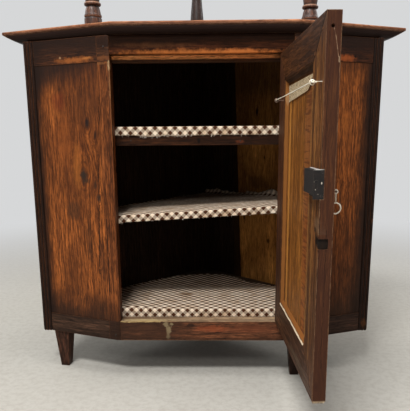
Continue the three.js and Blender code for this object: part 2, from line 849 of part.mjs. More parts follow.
function frameLeaf(middle) {
  const low = middle - hingeHeight / 2;
  const high = middle + hingeHeight / 2;
  const plate = block(
    jambHalf + clearance,
    jambHalf + hingeLeafThickness,
    pinY + knuckleRadius / 2,
    hingeLeafWidth,
    low,
    high,
  );
  const parts = [plate];
  for (const from of [low, high - thirdHeight]) {
    parts.push(rodUp(knuckleRadius, pinX, pinY, from, from + thirdHeight - knuckleGap / 2));
    parts.push(block(
      pinX,
      jambHalf + hingeLeafThickness,
      pinY - hingeLeafThickness / 2,
      pinY + knuckleRadius / 2 + hingeLeafThickness / 2,
      from,
      from + thirdHeight - knuckleGap / 2,
    ));
  }
  const body = join(...parts);
  const gap = block(
    pinX - 2 * knuckleRadius,
    jambHalf + clearance,
    pinY - 2 * knuckleRadius,
    hingeLeafWidth + overrun,
    low + thirdHeight - knuckleGap,
    high - thirdHeight + knuckleGap,
  );
  return cut(body, gap, rodUp(pinBore, pinX, pinY, low - overrun, high + overrun));
}

for (const [word, middle] of Object.entries(hingeMiddles)) {
  addPiece(cupboard, `hinge_${word}_frame_leaf`, frameLeaf(middle), blackIron);
  const low = middle - hingeHeight / 2;
  const high = middle + hingeHeight / 2;
  const shaft = rodUp(pinRadius, pinX, pinY, low, high + clearance);
  const head = rodUp(knuckleRadius * pinHeadShare, pinX, pinY, high + clearance, high + pinRadius);
  addPiece(cupboard, `hinge_${word}_pin`, join(shaft, head), blackIron);
}

// Door: drawn closed, with the hinge pin as its origin, then turned open about it.
const hingeEdge = pinInset;
const doorWidth = 2 * jambHalf - doorGapHinge - doorGapFree;
const freeEdge = hingeEdge - doorWidth;
const outerFace = knuckleProud;
const innerFace = knuckleProud + doorThickness;
const panelInner = innerFace - panelDrop;
const panelOuter = panelInner - panelThickness;
const openLeft = freeEdge + freeStileWidth;
const openRight = hingeEdge - hingeStileWidth;
const openBottom = doorBottom + bottomRailWidth;
const openTop = doorTop - topRailWidth;

const panelGroove = block(
  openLeft - panelTongue - clearance,
  openRight + panelTongue + clearance,
  panelOuter - clearance,
  panelInner + clearance,
  openBottom - panelTongue - clearance,
  openTop + panelTongue + clearance,
);

// Chamfer cutters for the frame's inner edges, on the inner face.
function stileChamfer(edge, into) {
  const points = [
    [edge - into * overrun, panelInner],
    [edge, panelInner],
    [edge + into * frameChamfer, innerFace],
    [edge + into * frameChamfer, innerFace + overrun],
    [edge - into * overrun, innerFace + overrun],
  ];
  return upright(points, doorBottom - overrun, doorTop - doorBottom + 2 * overrun);
}

function railChamfer(edge, into) {
  const points = [
    [panelInner, edge - into * overrun],
    [panelInner, edge],
    [innerFace, edge + into * frameChamfer],
    [innerFace + overrun, edge + into * frameChamfer],
    [innerFace + overrun, edge - into * overrun],
  ];
  return runAcross(points, freeEdge - overrun, doorWidth + 2 * overrun);
}

const lockMiddle = bodyBottom + lockZ;
const lockRight = freeEdge + lockWidth;
const keyX = freeEdge + lockWidth / 2;

function keyholeCutter(y0, y1) {
  const bow = rodBack(keyholeRadius, keyX, lockMiddle, y0, y1, 12);
  const slot = block(
    keyX - keyholeSlotWidth / 2,
    keyX + keyholeSlotWidth / 2,
    y0,
    y1,
    lockMiddle - keyholeSlotHeight,
    lockMiddle,
  );
  return join(bow, slot);
}

function doorLeafPocket(middle) {
  return block(
    hingeEdge - hingeLeafThickness - clearance,
    hingeEdge + overrun,
    outerFace - overrun,
    outerFace + hingeLeafWidth,
    middle - hingeHeight / 2 - clearance,
    middle + hingeHeight / 2 + clearance,
  );
}

const hingeStilePoints = [
  [hingeEdge, doorBottom],
  [hingeEdge, doorTop],
  [openRight, openTop],
  [openRight, openBottom],
];
const fittingHole = (x, z) => rodBack(
  fittingRadius + clearance,
  x,
  z,
  innerFace - fittingDepth - clearance,
  innerFace + overrun,
  10,
);
const hookX = hingeEdge - wireHookIn;
const eyeX = freeEdge + wireEyeIn;
const hookZ = doorTop - wireHookDrop;
const eyeZ = doorTop - wireEyeDrop;
const fittingFall = eyeRadius - fittingRadius - wireRadius - clearance;
const stapleX = keyX;
const stapleTop = lockMiddle - stapleBelowLock;
const stapleLegX = [stapleX - stapleHalfWidth, stapleX + stapleHalfWidth];
const stapleHoles = stapleLegX.map((x) => rodBack(
  stapleWire + clearance,
  x,
  stapleTop,
  outerFace - overrun,
  outerFace + stapleDepth + clearance,
  10,
));

addPiece(
  doorGroup,
  'door_stile_hinge',
  cut(
    runBack(hingeStilePoints, outerFace, doorThickness),
    panelGroove,
    stileChamfer(openRight, 1),
    doorLeafPocket(hingeMiddles.upper),
    doorLeafPocket(hingeMiddles.lower),
    fittingHole(hookX, hookZ - fittingFall),
  ),
  oakBrown,
);

const freeStilePoints = [
  [freeEdge, doorBottom],
  [openLeft, openBottom],
  [openLeft, openTop],
  [freeEdge, doorTop],
];
const nailHole = rodAcross(
  nailHoleRadius,
  innerFace - nailHoleIn,
  doorTop - nailHoleBelowTop,
  freeEdge - overrun,
  freeEdge + nailHoleDepth,
  10,
);
const oldMortise = block(
  freeEdge - overrun,
  freeEdge + oldMortiseDepth,
  innerFace - oldMortiseWidth,
  innerFace + overrun,
  bodyBottom + oldMortiseZ - oldMortiseHeight / 2,
  bodyBottom + oldMortiseZ + oldMortiseHeight / 2,
);
const selvedgePocket = block(
  freeEdge - overrun,
  freeEdge + lockPlateThickness + clearance,
  innerFace - selvedgeLap - clearance,
  innerFace + overrun,
  lockMiddle - lockHeight / 2 - clearance,
  lockMiddle + lockHeight / 2 + clearance,
);
addPiece(
  doorGroup,
  'door_stile_free',
  cut(
    runBack(freeStilePoints, outerFace, doorThickness),
    panelGroove,
    stileChamfer(openLeft, -1),
    nailHole,
    oldMortise,
    selvedgePocket,
    keyholeCutter(outerFace - overrun, innerFace + overrun),
    fittingHole(eyeX, eyeZ - fittingFall),
    ...stapleHoles,
  ),
  oakBrown,
);

function doorRail(outerZ, innerZ) {
  return runBack(
    [
      [freeEdge + mitreGap, outerZ],
      [hingeEdge - mitreGap, outerZ],
      [openRight - mitreGap, innerZ],
      [openLeft + mitreGap, innerZ],
    ],
    outerFace,
    doorThickness,
  );
}

addPiece(
  doorGroup,
  'door_rail_top',
  cut(doorRail(doorTop, openTop), panelGroove, railChamfer(openTop, 1)),
  oakBrown,
);
addPiece(
  doorGroup,
  'door_rail_bottom',
  cut(doorRail(doorBottom, openBottom), panelGroove, railChamfer(openBottom, -1)),
  oakBrown,
);
addPiece(
  doorGroup,
  'door_panel',
  block(
    openLeft - panelTongue,
    openRight + panelTongue,
    panelOuter,
    panelInner,
    openBottom - panelTongue,
    openTop + panelTongue,
  ),
  honeyWood,
);

function doorLeaf(middle) {
  const low = middle - hingeHeight / 2;
  const high = middle + hingeHeight / 2;
  const from = low + thirdHeight + knuckleGap / 2;
  const to = high - thirdHeight - knuckleGap / 2;
  const plate = block(
    hingeEdge - hingeLeafThickness,
    hingeEdge - clearance,
    outerFace - clearance,
    outerFace + hingeLeafWidth - clearance,
    low,
    high,
  );
  const web = block(
    hingeEdge - hingeLeafThickness,
    hingeEdge - clearance,
    0,
    outerFace + clearance,
    from,
    to,
  );
  const knuckle = rodUp(knuckleRadius, 0, 0, from, to);
  return cut(join(plate, web, knuckle), rodUp(pinBore, 0, 0, low - overrun, high + overrun));
}

for (const [word, middle] of Object.entries(hingeMiddles)) {
  addPiece(doorGroup, `hinge_${word}_door_leaf`, doorLeaf(middle), blackIron);
}

// Lock: a plate turned over the door's edge, a case on it, and the sliding bolt inside.
const plateInner = innerFace + clearance;
const plateOuter = plateInner + lockPlateThickness;
const caseStart = plateOuter + clearance;
const caseEnd = caseStart + lockCaseDepth;
const boltMiddleY = (caseStart + caseEnd) / 2;
const caseTop = lockMiddle + lockHeight / 2 - lockPlateThickness;
const caseBottom = caseTop - lockCaseHeight;
const caseLeft = freeEdge + lockPlateThickness + clearance;

const boltSlot = block(
  freeEdge - overrun,
  caseLeft + lockWall + boltClearance,
  boltMiddleY - boltThickness / 2 - boltClearance,
  boltMiddleY + boltThickness / 2 + boltClearance,
  lockMiddle - boltHeight / 2 - boltClearance,
  lockMiddle + boltHeight / 2 + boltClearance,
);
const lockPlate = join(
  block(
    freeEdge,
    lockRight,
    plateInner,
    plateOuter,
    lockMiddle - lockHeight / 2,
    lockMiddle + lockHeight / 2,
  ),
  block(
    freeEdge,
    freeEdge + lockPlateThickness,
    innerFace - selvedgeLap,
    caseEnd,
    lockMiddle - lockHeight / 2,
    lockMiddle + lockHeight / 2,
  ),
);
addPiece(
  doorGroup,
  'lock_plate',
  cut(lockPlate, boltSlot, keyholeCutter(innerFace, plateOuter + clearance)),
  blackIron,
);
addPiece(
  doorGroup,
  'lock_case',
  cut(
    block(caseLeft, lockRight - clearance, caseStart, caseEnd, caseBottom, caseTop),
    block(
      caseLeft + lockWall,
      lockRight - clearance - lockWall,
      caseStart - overrun,
      caseEnd - lockWall,
      caseBottom + lockWall,
      caseTop - lockWall,
    ),
    boltSlot,
  ),
  blackIron,
);
addPiece(
  doorGroup,
  'lock_bolt',
  block(
    freeEdge,
    freeEdge + boltLength,
    boltMiddleY - boltThickness / 2,
    boltMiddleY + boltThickness / 2,
    lockMiddle - boltHeight / 2,
    lockMiddle + boltHeight / 2,
  ),
  blackIron,
);

// Keyhole plate and wire pull on the outer face.
const keyPlate = new THREE.CylinderGeometry(keyPlateWidth / 2, keyPlateWidth / 2, keyPlateThickness, 20);
keyPlate.scale(1, 1, keyPlateHeight / keyPlateWidth);
const keyPlateY = outerFace - clearance - keyPlateThickness / 2;
keyPlate.translate(keyX, keyPlateY, lockMiddle + keyPlateLift);
addPiece(
  doorGroup,
  'keyhole_plate',
  cut(keyPlate, keyholeCutter(outerFace - overrun, outerFace)),
  blackIron,
);

const stapleFront = outerFace - stapleReach;
const stapleBack = outerFace + stapleDepth;
const staplePieces = stapleLegX.map((x) => rodBack(stapleWire, x, stapleTop, stapleFront, stapleBack, 8));
staplePieces.push(rodAcross(
  stapleWire,
  stapleFront,
  stapleTop,
  stapleLegX[0] - stapleWire,
  stapleLegX[1] + stapleWire,
  8,
));
addPiece(doorGroup, 'pull_staple', join(...staplePieces), blackIron);

function ringAcross(radius, wire, x, y, z) {
  const geometry = new THREE.TorusGeometry(radius, wire, 8, 20);
  return geometry.rotateY(Math.PI / 2).translate(x, y, z);
}

const eyeCentreZ = stapleTop - (pullEyeRadius - pullEyeWire - stapleWire - clearance);
const shankTop = eyeCentreZ - pullEyeRadius;
const ringCentreZ = shankTop - pullShankLength - pullRingRadius;
addPiece(
  doorGroup,
  'pull_ring',
  join(
    ringAcross(pullEyeRadius, pullEyeWire, stapleX, stapleFront, eyeCentreZ),
    rodUp(pullWire, stapleX, stapleFront, shankTop - pullShankLength, shankTop, 8),
    ringAcross(pullRingRadius, pullWire, stapleX, stapleFront, ringCentreZ),
  ),
  paleMetal,
);

// Curtain wire across the panel, pulled up against its hook and eye, with its knots and loose tail.
const hookY = innerFace + wireHookReach;
const eyeY = innerFace + wireEyeReach;

function fitting(x, y, z) {
  return join(
    rodBack(fittingRadius, x, z, innerFace - fittingDepth, y - eyeRadius, 8),
    ringAcross(eyeRadius, fittingRadius, x, y, z),
  );
}

addPiece(doorGroup, 'wire_hook', fitting(hookX, hookY, hookZ - fittingFall), paleMetal);
addPiece(doorGroup, 'wire_eye', fitting(eyeX, eyeY, eyeZ - fittingFall), paleMetal);

const knotPast = wireKnotRadius + fittingRadius + clearance;
const wireStart = [hookX + knotPast, hookY, hookZ];
const wireKnot = [eyeX - knotPast, eyeY, eyeZ];
const wireRest = [eyeX - 3 * knotPast, innerFace + wireTailReach, eyeZ - wireTailDrop / 3];
const wireEnd = [freeEdge + knotPast, innerFace + wireTailReach, eyeZ - wireTailDrop];
const knots = [wireKnot, wireStart].map((place) => (
  new THREE.SphereGeometry(wireKnotRadius, 10, 7).translate(...place)
));
const wireTail = tube([wireKnot, wireRest, wireEnd], wireTailRadius, 8, 10);
addPiece(
  doorGroup,
  'curtain_wire',
  join(tube([wireStart, wireKnot], wireRadius, 8, 1), ...knots, wireTail),
  paleMetal,
);

// Ribbed tape stuck to the panel under the top rail, torn off at a slant.
const tapeTop = openTop - tapeDrop;
const tapeRight = openRight - tapeEndGap;
const tapeLeft = openLeft + tapeEndGap;
addPiece(
  doorGroup,
  'ribbed_tape',
  runBack(
    [
      [tapeRight, tapeTop],
      [tapeRight, tapeTop - tapeWidth],
      [tapeLeft + tapeTornEnd, tapeTop - tapeFreeWidth],
      [tapeLeft + tapeTornEnd / 2, tapeTop - tapeFreeWidth * tapeTornShare],
      [tapeLeft, tapeTop],
    ],
    panelInner + clearance,
    tapeThickness,
  ),
  creamTape,
);

doorGroup.position.set(pinX, pinY, 0);
doorGroup.rotation.z = doorAngle;
cupboard.add(doorGroup);

// The finished part stands on the floor with the middle of its extent over the origin.
const part = new THREE.Group();
part.add(cupboard);
part.updateMatrixWorld(true);
const extent = new THREE.Box3().setFromObject(part, true);
cupboard.position.x = -(extent.min.x + extent.max.x) / 2;
cupboard.position.y = -(extent.min.y + extent.max.y) / 2;

export default part;
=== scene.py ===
# Corner cupboard base: finishes, cloth covers, small fittings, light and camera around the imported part
import bpy
import bmesh
import math
import random
from mathutils import Matrix, Vector, noise


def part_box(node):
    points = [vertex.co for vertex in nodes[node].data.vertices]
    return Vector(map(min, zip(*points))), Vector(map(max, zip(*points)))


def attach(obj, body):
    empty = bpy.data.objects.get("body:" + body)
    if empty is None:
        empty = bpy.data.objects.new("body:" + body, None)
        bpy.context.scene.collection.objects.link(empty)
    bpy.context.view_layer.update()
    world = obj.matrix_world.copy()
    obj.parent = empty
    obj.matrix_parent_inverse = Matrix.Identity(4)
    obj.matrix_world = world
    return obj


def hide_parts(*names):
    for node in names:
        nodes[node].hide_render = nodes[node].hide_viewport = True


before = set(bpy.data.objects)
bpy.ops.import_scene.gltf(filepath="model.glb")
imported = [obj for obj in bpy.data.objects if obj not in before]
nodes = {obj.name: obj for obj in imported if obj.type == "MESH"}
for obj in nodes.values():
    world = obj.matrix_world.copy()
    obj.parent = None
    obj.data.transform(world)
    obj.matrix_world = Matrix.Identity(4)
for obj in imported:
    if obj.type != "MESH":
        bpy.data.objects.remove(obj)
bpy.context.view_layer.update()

random.seed(7)
mm = 0.001
fullTurn = 2 * math.pi


# small helpers

def paint(red, green, blue):  # screen colour, 0 to 255, as a linear colour
    def straight(value):
        value /= 255
        return value / 12.92 if value <= 0.04045 else ((value + 0.055) / 1.055) ** 2.4
    return (straight(red), straight(green), straight(blue), 1)


def feed(tree, node, key, value):  # links a socket or sets a value
    if isinstance(value, bpy.types.NodeSocket):
        tree.links.new(value, node.inputs[key])
    else:
        node.inputs[key].default_value = value


def put(tree, kind, inputs=None, **settings):  # adds a shader node
    node = tree.nodes.new(kind)
    for key, value in settings.items():
        setattr(node, key, value)
    for key, value in (inputs or {}).items():
        feed(tree, node, key, value)
    return node


def sums(tree, operation, *values, clamp=False):  # one Math node
    return put(tree, "ShaderNodeMath", dict(enumerate(values)), operation=operation, use_clamp=clamp).outputs[0]


def times(tree, first, second):
    return sums(tree, "MULTIPLY", first, second)


def vectorSums(tree, operation, *values):  # one Vector Math node
    node = put(tree, "ShaderNodeVectorMath", dict(enumerate(values)), operation=operation)
    return node.outputs[1 if operation in ("LENGTH", "DOT_PRODUCT") else 0]


def scaled(tree, vector, factor):
    return put(tree, "ShaderNodeVectorMath", {0: vector, "Scale": factor}, operation="SCALE").outputs[0]


def mixed(tree, factor, first, second, blend="MIX"):  # one colour Mix node
    return put(
        tree, "ShaderNodeMix", {0: factor, 6: first, 7: second},
        data_type="RGBA", blend_type=blend, clamp_factor=True,
    ).outputs[2]


def tinted(tree, colour, mask, share, tint, blend="MIX"):  # a screen colour laid over another by a mask
    return mixed(tree, times(tree, mask, share), colour, paint(*tint), blend)


def spread(tree, value, low, high, toLow=0.0, toHigh=1.0, kind="SMOOTHSTEP"):  # one Map Range node
    inputs = {"Value": value, "From Min": low, "From Max": high, "To Min": toLow, "To Max": toHigh}
    return put(tree, "ShaderNodeMapRange", inputs, interpolation_type=kind).outputs[0]


def noiseOn(tree, place, scale, detail, roughness=0.5, distortion=0.0, colour=False):  # one Noise Texture node
    inputs = {"Vector": place, "Scale": scale, "Detail": detail, "Roughness": roughness, "Distortion": distortion}
    return put(tree, "ShaderNodeTexNoise", inputs).outputs["Color" if colour else 0]


def shakeOn(tree, place, scale, detail):  # a vector that wanders round zero
    return vectorSums(tree, "SUBTRACT", noiseOn(tree, place, scale, detail, colour=True), (0.5, 0.5, 0.5))


def turnedFlat(tree, place, degrees):  # places turned round the Z axis
    inputs = {"Vector": place, "Angle": math.radians(degrees)}
    return put(tree, "ShaderNodeVectorRotate", inputs, rotation_type="Z_AXIS").outputs[0]


def raggedBy(tree, noised, amount, level):  # a level that noise pushes up and down
    return sums(tree, "MULTIPLY_ADD", sums(tree, "SUBTRACT", noised, 0.5), amount, level)


def newGroup(name, inputs, outputs):  # an empty shader group with named sockets
    group = bpy.data.node_groups.new(name, "ShaderNodeTree")
    kinds = {"value": "NodeSocketFloat", "colour": "NodeSocketColor", "vector": "NodeSocketVector"}
    for label, value in inputs.items():
        kind = "value" if isinstance(value, float) else {3: "vector", 4: "colour"}[len(value)]
        socket = group.interface.new_socket(name=label, in_out="INPUT", socket_type=kinds[kind])
        socket.default_value = value
    for label, kind in outputs.items():
        group.interface.new_socket(name=label, in_out="OUTPUT", socket_type=kinds[kind])
    return group, put(group, "NodeGroupInput").outputs, put(group, "NodeGroupOutput")


def fillGroup(tree, group, inputs):
    return put(tree, "ShaderNodeGroup", inputs, node_tree=group)


def startFinish(name, onCut=False):  # a new material, and places on the object or on a cloth's cut
    material = bpy.data.materials.new(name)
    material.use_nodes = True
    tree = material.node_tree
    if onCut:
        return material, tree, put(tree, "ShaderNodeUVMap", uv_map="cut").outputs[0]
    return material, tree, put(tree, "ShaderNodeTexCoord").outputs["Object"]


def endFinish(tree, colour, roughness, height, strength, distance, specular=0.5):  # bumps of this height and depth
    shader = tree.nodes["Principled BSDF"]
    bump = put(tree, "ShaderNodeBump", {"Height": height, "Strength": strength, "Distance": distance})
    feed(tree, shader, "Base Color", colour)
    feed(tree, shader, "Roughness", roughness)
    feed(tree, shader, "Normal", bump.outputs[0])
    feed(tree, shader, "Specular IOR Level", specular)
    return shader


def addObject(name, data):
    obj = bpy.data.objects.new(name, data)
    bpy.context.collection.objects.link(obj)
    return obj


# shared effects

origin = (0, 0, 0)
maskOnly = {"Mask": "value"}


def makeWoodGrain():  # fibres, streaks, growth rings, flecks and slow clouds along the Stretch direction
    group, get, end = newGroup("woodGrain", {
        "Position": origin, "Stretch": (1, 1, 0.07), "Pale": (0.3, 0.15, 0.06, 1), "Deep": (0.1, 0.04, 0.02, 1),
        "Pore": (0.03, 0.015, 0.01, 1), "Streaks": 0.6, "Rings": 0.35, "Ring Count": 60.0, "Pores": 0.5,
        "Clouds": 0.5, "Contrast": 0.5, "Shift": 0.0, "Waver": 0.010,
    }, {"Colour": "colour", "Height": "value", "Streak": "value"})
    seed = put(group, "ShaderNodeCombineXYZ", {axis: get["Shift"] for axis in "XYZ"}).outputs[0]
    moved = vectorSums(group, "ADD", get["Position"], seed)
    bent = vectorSums(group, "ADD", moved, scaled(group, shakeOn(group, moved, 7.0, 2.0), get["Waver"]))

    def drawn(power):  # places drawn out along the grain
        return vectorSums(group, "MULTIPLY", bent, vectorSums(group, "POWER", get["Stretch"], (power, power, power)))

    along, shorter, shortest = vectorSums(group, "MULTIPLY", bent, get["Stretch"]), drawn(0.45), drawn(0.72)
    clouds = noiseOn(group, shorter, 15.0, 5.0, 0.62)
    streak = noiseOn(group, along, 230.0, 4.0, 0.66, 0.15)
    fibre = noiseOn(group, shortest, 330.0, 2.5, 0.6)
    pore = noiseOn(group, shortest, 520.0, 2.0, 0.6)
    shine = noiseOn(group, shortest, 300.0, 3.0, 0.75)
    parts = put(group, "ShaderNodeSeparateXYZ", {"Vector": along}).outputs
    across = sums(group, "ADD", sums(group, "ADD", parts[0], parts[1]), parts[2])
    bend = noiseOn(group, shorter, 6.0, 1.5)
    phase = sums(group, "MULTIPLY_ADD", across, get["Ring Count"], times(group, bend, 7.0))
    streakMask = spread(group, streak, 0.42, 0.58)
    poreMask = times(group, spread(group, pore, 0.54, 0.62), get["Pores"])
    colour = get["Pale"]
    for mask, share, other in (
        (spread(group, clouds, 0.38, 0.62), get["Clouds"], get["Deep"]),
        (streakMask, get["Streaks"], get["Deep"]),
        (spread(group, sums(group, "FRACT", phase), 0.3, 1.0), get["Rings"], get["Deep"]),
        (spread(group, fibre, 0.46, 0.6), times(group, get["Streaks"], 0.8), get["Deep"]),
        (poreMask, 1.0, get["Pore"]),
    ):
        colour = mixed(group, times(group, mask, share), colour, other)
    less = sums(group, "SUBTRACT", 1.0, get["Contrast"])
    more = sums(group, "MULTIPLY_ADD", get["Contrast"], 1.25, 1.0)
    lit = scaled(group, colour, spread(group, shine, 0.36, 0.66, less, more, "LINEAR"))
    height = sums(group, "SUBTRACT", times(group, streak, 0.6), times(group, poreMask, 0.9))
    for label, value in (("Colour", lit), ("Height", height), ("Streak", streakMask)):
        group.links.new(value, end.inputs[label])
    return group


def makeSoftPatch():  # a blurred spot, bar or line at a place
    group, get, end = newGroup("softPatch", {
        "Position": origin, "Middle": origin, "Reach": (0.05, 0.05, 0.05),
        "Softness": 0.5, "Raggedness": 0.3, "Rag Scale": 40.0,
    }, maskOnly)
    away = vectorSums(group, "SUBTRACT", get["Position"], get["Middle"])
    length = vectorSums(group, "LENGTH", vectorSums(group, "DIVIDE", away, get["Reach"]))
    rag = noiseOn(group, get["Position"], get["Rag Scale"], 4.0, 0.7)
    total = raggedBy(group, rag, times(group, get["Raggedness"], 2.0), length)
    mask = spread(group, total, sums(group, "SUBTRACT", 1.0, get["Softness"]), 1.0, 1.0, 0.0)
    group.links.new(mask, end.inputs["Mask"])
    return group


def makeJointLine():  # a thin ragged line between two places: a joint, a crack or a scratch
    group, get, end = newGroup("jointLine", {
        "Position": origin, "First End": origin, "Second End": (0, 0, 1), "Width": 0.002, "Raggedness": 0.3,
    }, maskOnly)
    whole = vectorSums(group, "SUBTRACT", get["Second End"], get["First End"])
    away = vectorSums(group, "SUBTRACT", get["Position"], get["First End"])
    along = vectorSums(group, "DOT_PRODUCT", away, whole)
    total = vectorSums(group, "DOT_PRODUCT", whole, whole)
    near = scaled(group, whole, sums(group, "DIVIDE", along, total, clamp=True))
    unrest = times(group, get["Width"], times(group, get["Raggedness"], 4.0))
    shaken = scaled(group, shakeOn(group, get["Position"], 55.0, 3.0), unrest)
    gap = vectorSums(group, "LENGTH", vectorSums(group, "ADD", vectorSums(group, "SUBTRACT", away, near), shaken))
    mask = spread(group, gap, times(group, get["Width"], 0.35), get["Width"], 1.0, 0.0)
    group.links.new(mask, end.inputs["Mask"])
    return group


def makeSideFade():  # a ragged change along one direction, from Begin to Full
    group, get, end = newGroup("sideFade", {
        "Position": origin, "Direction": (0, 0, 1), "Begin": 0.0, "Full": 0.1, "Raggedness": 0.01, "Rag Scale": 30.0,
    }, maskOnly)
    along = vectorSums(group, "DOT_PRODUCT", get["Position"], get["Direction"])
    rag = noiseOn(group, get["Position"], get["Rag Scale"], 4.0, 0.65)
    shaken = raggedBy(group, rag, times(group, get["Raggedness"], 2.0), along)
    group.links.new(spread(group, shaken, get["Begin"], get["Full"]), end.inputs["Mask"])
    return group


def makeGrainKnot():  # how far the grain is pulled round a knot, and masks of the knot itself
    group, get, end = newGroup("grainKnot", {
        "Position": origin, "Middle": origin, "Size": 0.02, "Long": (1, 1, 0.5),
    }, {"Pull": "value", "Core": "value", "Rim": "value"})
    away = vectorSums(group, "SUBTRACT", get["Position"], get["Middle"])
    shaped = vectorSums(group, "MULTIPLY", away, get["Long"])
    distance = sums(group, "DIVIDE", vectorSums(group, "LENGTH", shaped), get["Size"])
    ragged = raggedBy(group, noiseOn(group, get["Position"], 70.0, 3.0), 0.5, distance)
    fall = sums(group, "POWER", 2.718, times(group, times(group, distance, distance), -0.5))
    core = spread(group, ragged, 0.25, 0.6, 1.0, 0.0)
    turns = sums(group, "SINE", times(group, ragged, 16.0))
    rim = times(group, spread(group, turns, -0.2, 0.9), spread(group, ragged, 0.5, 1.7, 1.0, 0.0))
    for label, value in (("Pull", times(group, fall, 0.85)), ("Core", core), ("Rim", rim)):
        group.links.new(value, end.inputs[label])
    return group


def makeBorderGrimeAndShade():  # grime and painted shade, darker toward the borders of a piece's own box, on the axes that Use picks
    group, get, end = newGroup("borderGrimeAndShade", {
        "Position": origin, "Low Corner": origin, "High Corner": (1, 1, 1), "Use": (1, 0, 1),
        "Reach": 0.02, "Raggedness": 0.5,
    }, maskOnly)
    rag = noiseOn(group, get["Position"], 26.0, 4.0, 0.65)
    below = vectorSums(group, "SUBTRACT", get["Position"], get["Low Corner"])
    above = vectorSums(group, "SUBTRACT", get["High Corner"], get["Position"])
    unused = vectorSums(group, "SUBTRACT", (1, 1, 1), get["Use"])
    pushed = vectorSums(group, "ADD", vectorSums(group, "MINIMUM", below, above), unused)
    parts = put(group, "ShaderNodeSeparateXYZ", {"Vector": pushed}).outputs
    least = sums(group, "MINIMUM", sums(group, "MINIMUM", parts[0], parts[1]), parts[2])
    ragged = raggedBy(group, rag, get["Raggedness"], sums(group, "DIVIDE", least, get["Reach"]))
    group.links.new(spread(group, ragged, 0.0, 1.0, 1.0, 0.0), end.inputs["Mask"])
    return group


def makeEdgeWearAndHighlight():  # where sharp edges have been rubbed, and on some pieces a painted highlight along them
    group, get, end = newGroup("edgeWearAndHighlight", {"Position": origin, "Width": 0.003, "Breakup": 0.5}, maskOnly)
    plain = put(group, "ShaderNodeNewGeometry").outputs["Normal"]
    rounded = put(group, "ShaderNodeBevel", {"Radius": get["Width"]}, samples=4).outputs[0]
    same = vectorSums(group, "DOT_PRODUCT", plain, rounded)
    edge = spread(group, sums(group, "SUBTRACT", 1.0, same), 0.02, 0.2)
    broken = spread(group, noiseOn(group, get["Position"], 60.0, 4.0, 0.7), 0.3, 0.65)
    kept = sums(group, "SUBTRACT", 1.0, times(group, sums(group, "SUBTRACT", 1.0, broken), get["Breakup"]))
    group.links.new(times(group, edge, kept), end.inputs["Mask"])
    return group


biasTurn = 45


def makeGingham():  # checked cloth, woven on the bias, with faint yellowed patches
    group, get, end = newGroup("gingham", {
        "Position": origin, "Check": 0.0093, "Cream": (0.8, 0.7, 0.6, 1), "Brown": (0.1, 0.06, 0.04, 1),
        "Dirt": (0.4, 0.3, 0.2, 1), "Dirt Share": 0.25, "Thread": 0.0007,
    }, {"Colour": "colour", "Height": "value"})
    slack = vectorSums(group, "MULTIPLY", shakeOn(group, get["Position"], 9.0, 2.0), (0.006, 0.006, 0))
    place = vectorSums(group, "ADD", get["Position"], slack)
    parts = put(group, "ShaderNodeSeparateXYZ", {"Vector": turnedFlat(group, place, biasTurn)}).outputs
    bands, threads = [], []
    for part in parts[:2]:
        angle = sums(group, "DIVIDE", times(group, part, math.pi), get["Check"])
        bands.append(sums(group, "MULTIPLY_ADD", sums(group, "SINE", angle), 5.0, 0.5, clamp=True))
        threads.append(sums(group, "SINE", sums(group, "DIVIDE", times(group, part, fullTurn), get["Thread"])))
    curve = sums(group, "POWER", times(group, sums(group, "ADD", *bands), 0.5), 0.85)
    colour = mixed(group, curve, get["Cream"], get["Brown"])
    dirt = spread(group, noiseOn(group, get["Position"], 24.0, 5.0, 0.7), 0.42, 0.68)
    dirty = mixed(group, times(group, dirt, get["Dirt Share"]), colour, get["Dirt"], "MULTIPLY")
    group.links.new(dirty, end.inputs["Colour"])
    group.links.new(sums(group, "ADD", *threads), end.inputs["Height"])
    return group


woodGrain = makeWoodGrain()
softPatch = makeSoftPatch()
jointLine = makeJointLine()
sideFade = makeSideFade()
grainKnot = makeGrainKnot()
borderGrimeAndShade = makeBorderGrimeAndShade()
edgeWearAndHighlight = makeEdgeWearAndHighlight()
gingham = makeGingham()
print("shared effects ready")


# wood finishes

stretches = {"up": (1, 1, 0.032), "across": (0.035, 1, 1), "back": (1, 0.035, 1), "level": (0.035, 0.035, 1)}
knotShapes = {"up": (1, 1, 0.5), "across": (0.5, 1, 1), "back": (1, 0.5, 1), "level": (0.5, 0.5, 1)}
grimeAndShadeAxes = {"xz": (1, 0, 1), "z": (0, 0, 1)}
grainDepth = 0.0008
streakGloss = 0.14
rayScale = 120.0
woodDefaults = {
    "grain": "up", "pore": (30, 18, 12), "streaks": 0.6, "rings": 0.35, "ringCount": 60.0, "pores": 0.55,
    "clouds": 0.5, "contrast": 0.35, "shift": 0.0, "waver": 0.010, "knots": [], "parts": [], "ladders": [],
    "spots": [], "fades": [], "lines": [], "unworn": [], "grimeAndShade": 0.6, "grimeAndShadeOn": "xz", "grimeAndShadeReach": 0.02,
    "grimeAndShadeRag": 0.7, "grimeAndShadeColour": (32, 19, 13), "wearAndHighlight": 0.35, "wearAndHighlightWidth": 0.0025, "wearAndHighlightBreakup": 0.8,
    "wearAndHighlightColour": (170, 108, 66), "rough": 0.46, "bump": 0.45, "specular": 0.1, "arris": 0.0008,
}
upward, downward, leftward, rightward = (0, 0, 1), (0, 0, -1), (-1, 0, 0), (1, 0, 0)


def knotAt(at, size, colour=(34, 21, 15)):
    return {"at": at, "size": size, "colour": colour}


def spotAt(at, reach, colour, share=0.8, rag=0.3, ragScale=40.0, soft=0.6):  # another colour round a place
    return {"at": at, "reach": reach, "colour": colour, "share": share, "rag": rag, "ragScale": ragScale, "soft": soft}


def fadeTo(toward, begin, full, colour, share=0.8, rag=0.006, ragScale=30.0):  # another colour from a level on
    return {
        "toward": toward, "begin": begin, "full": full, "colour": colour,
        "share": share, "rag": rag, "ragScale": ragScale,
    }


def partFrom(toward, begin, full, looks):  # other wood from a level on
    return {**fadeTo(toward, begin, full, None, 1.0, 0.0), "looks": looks}


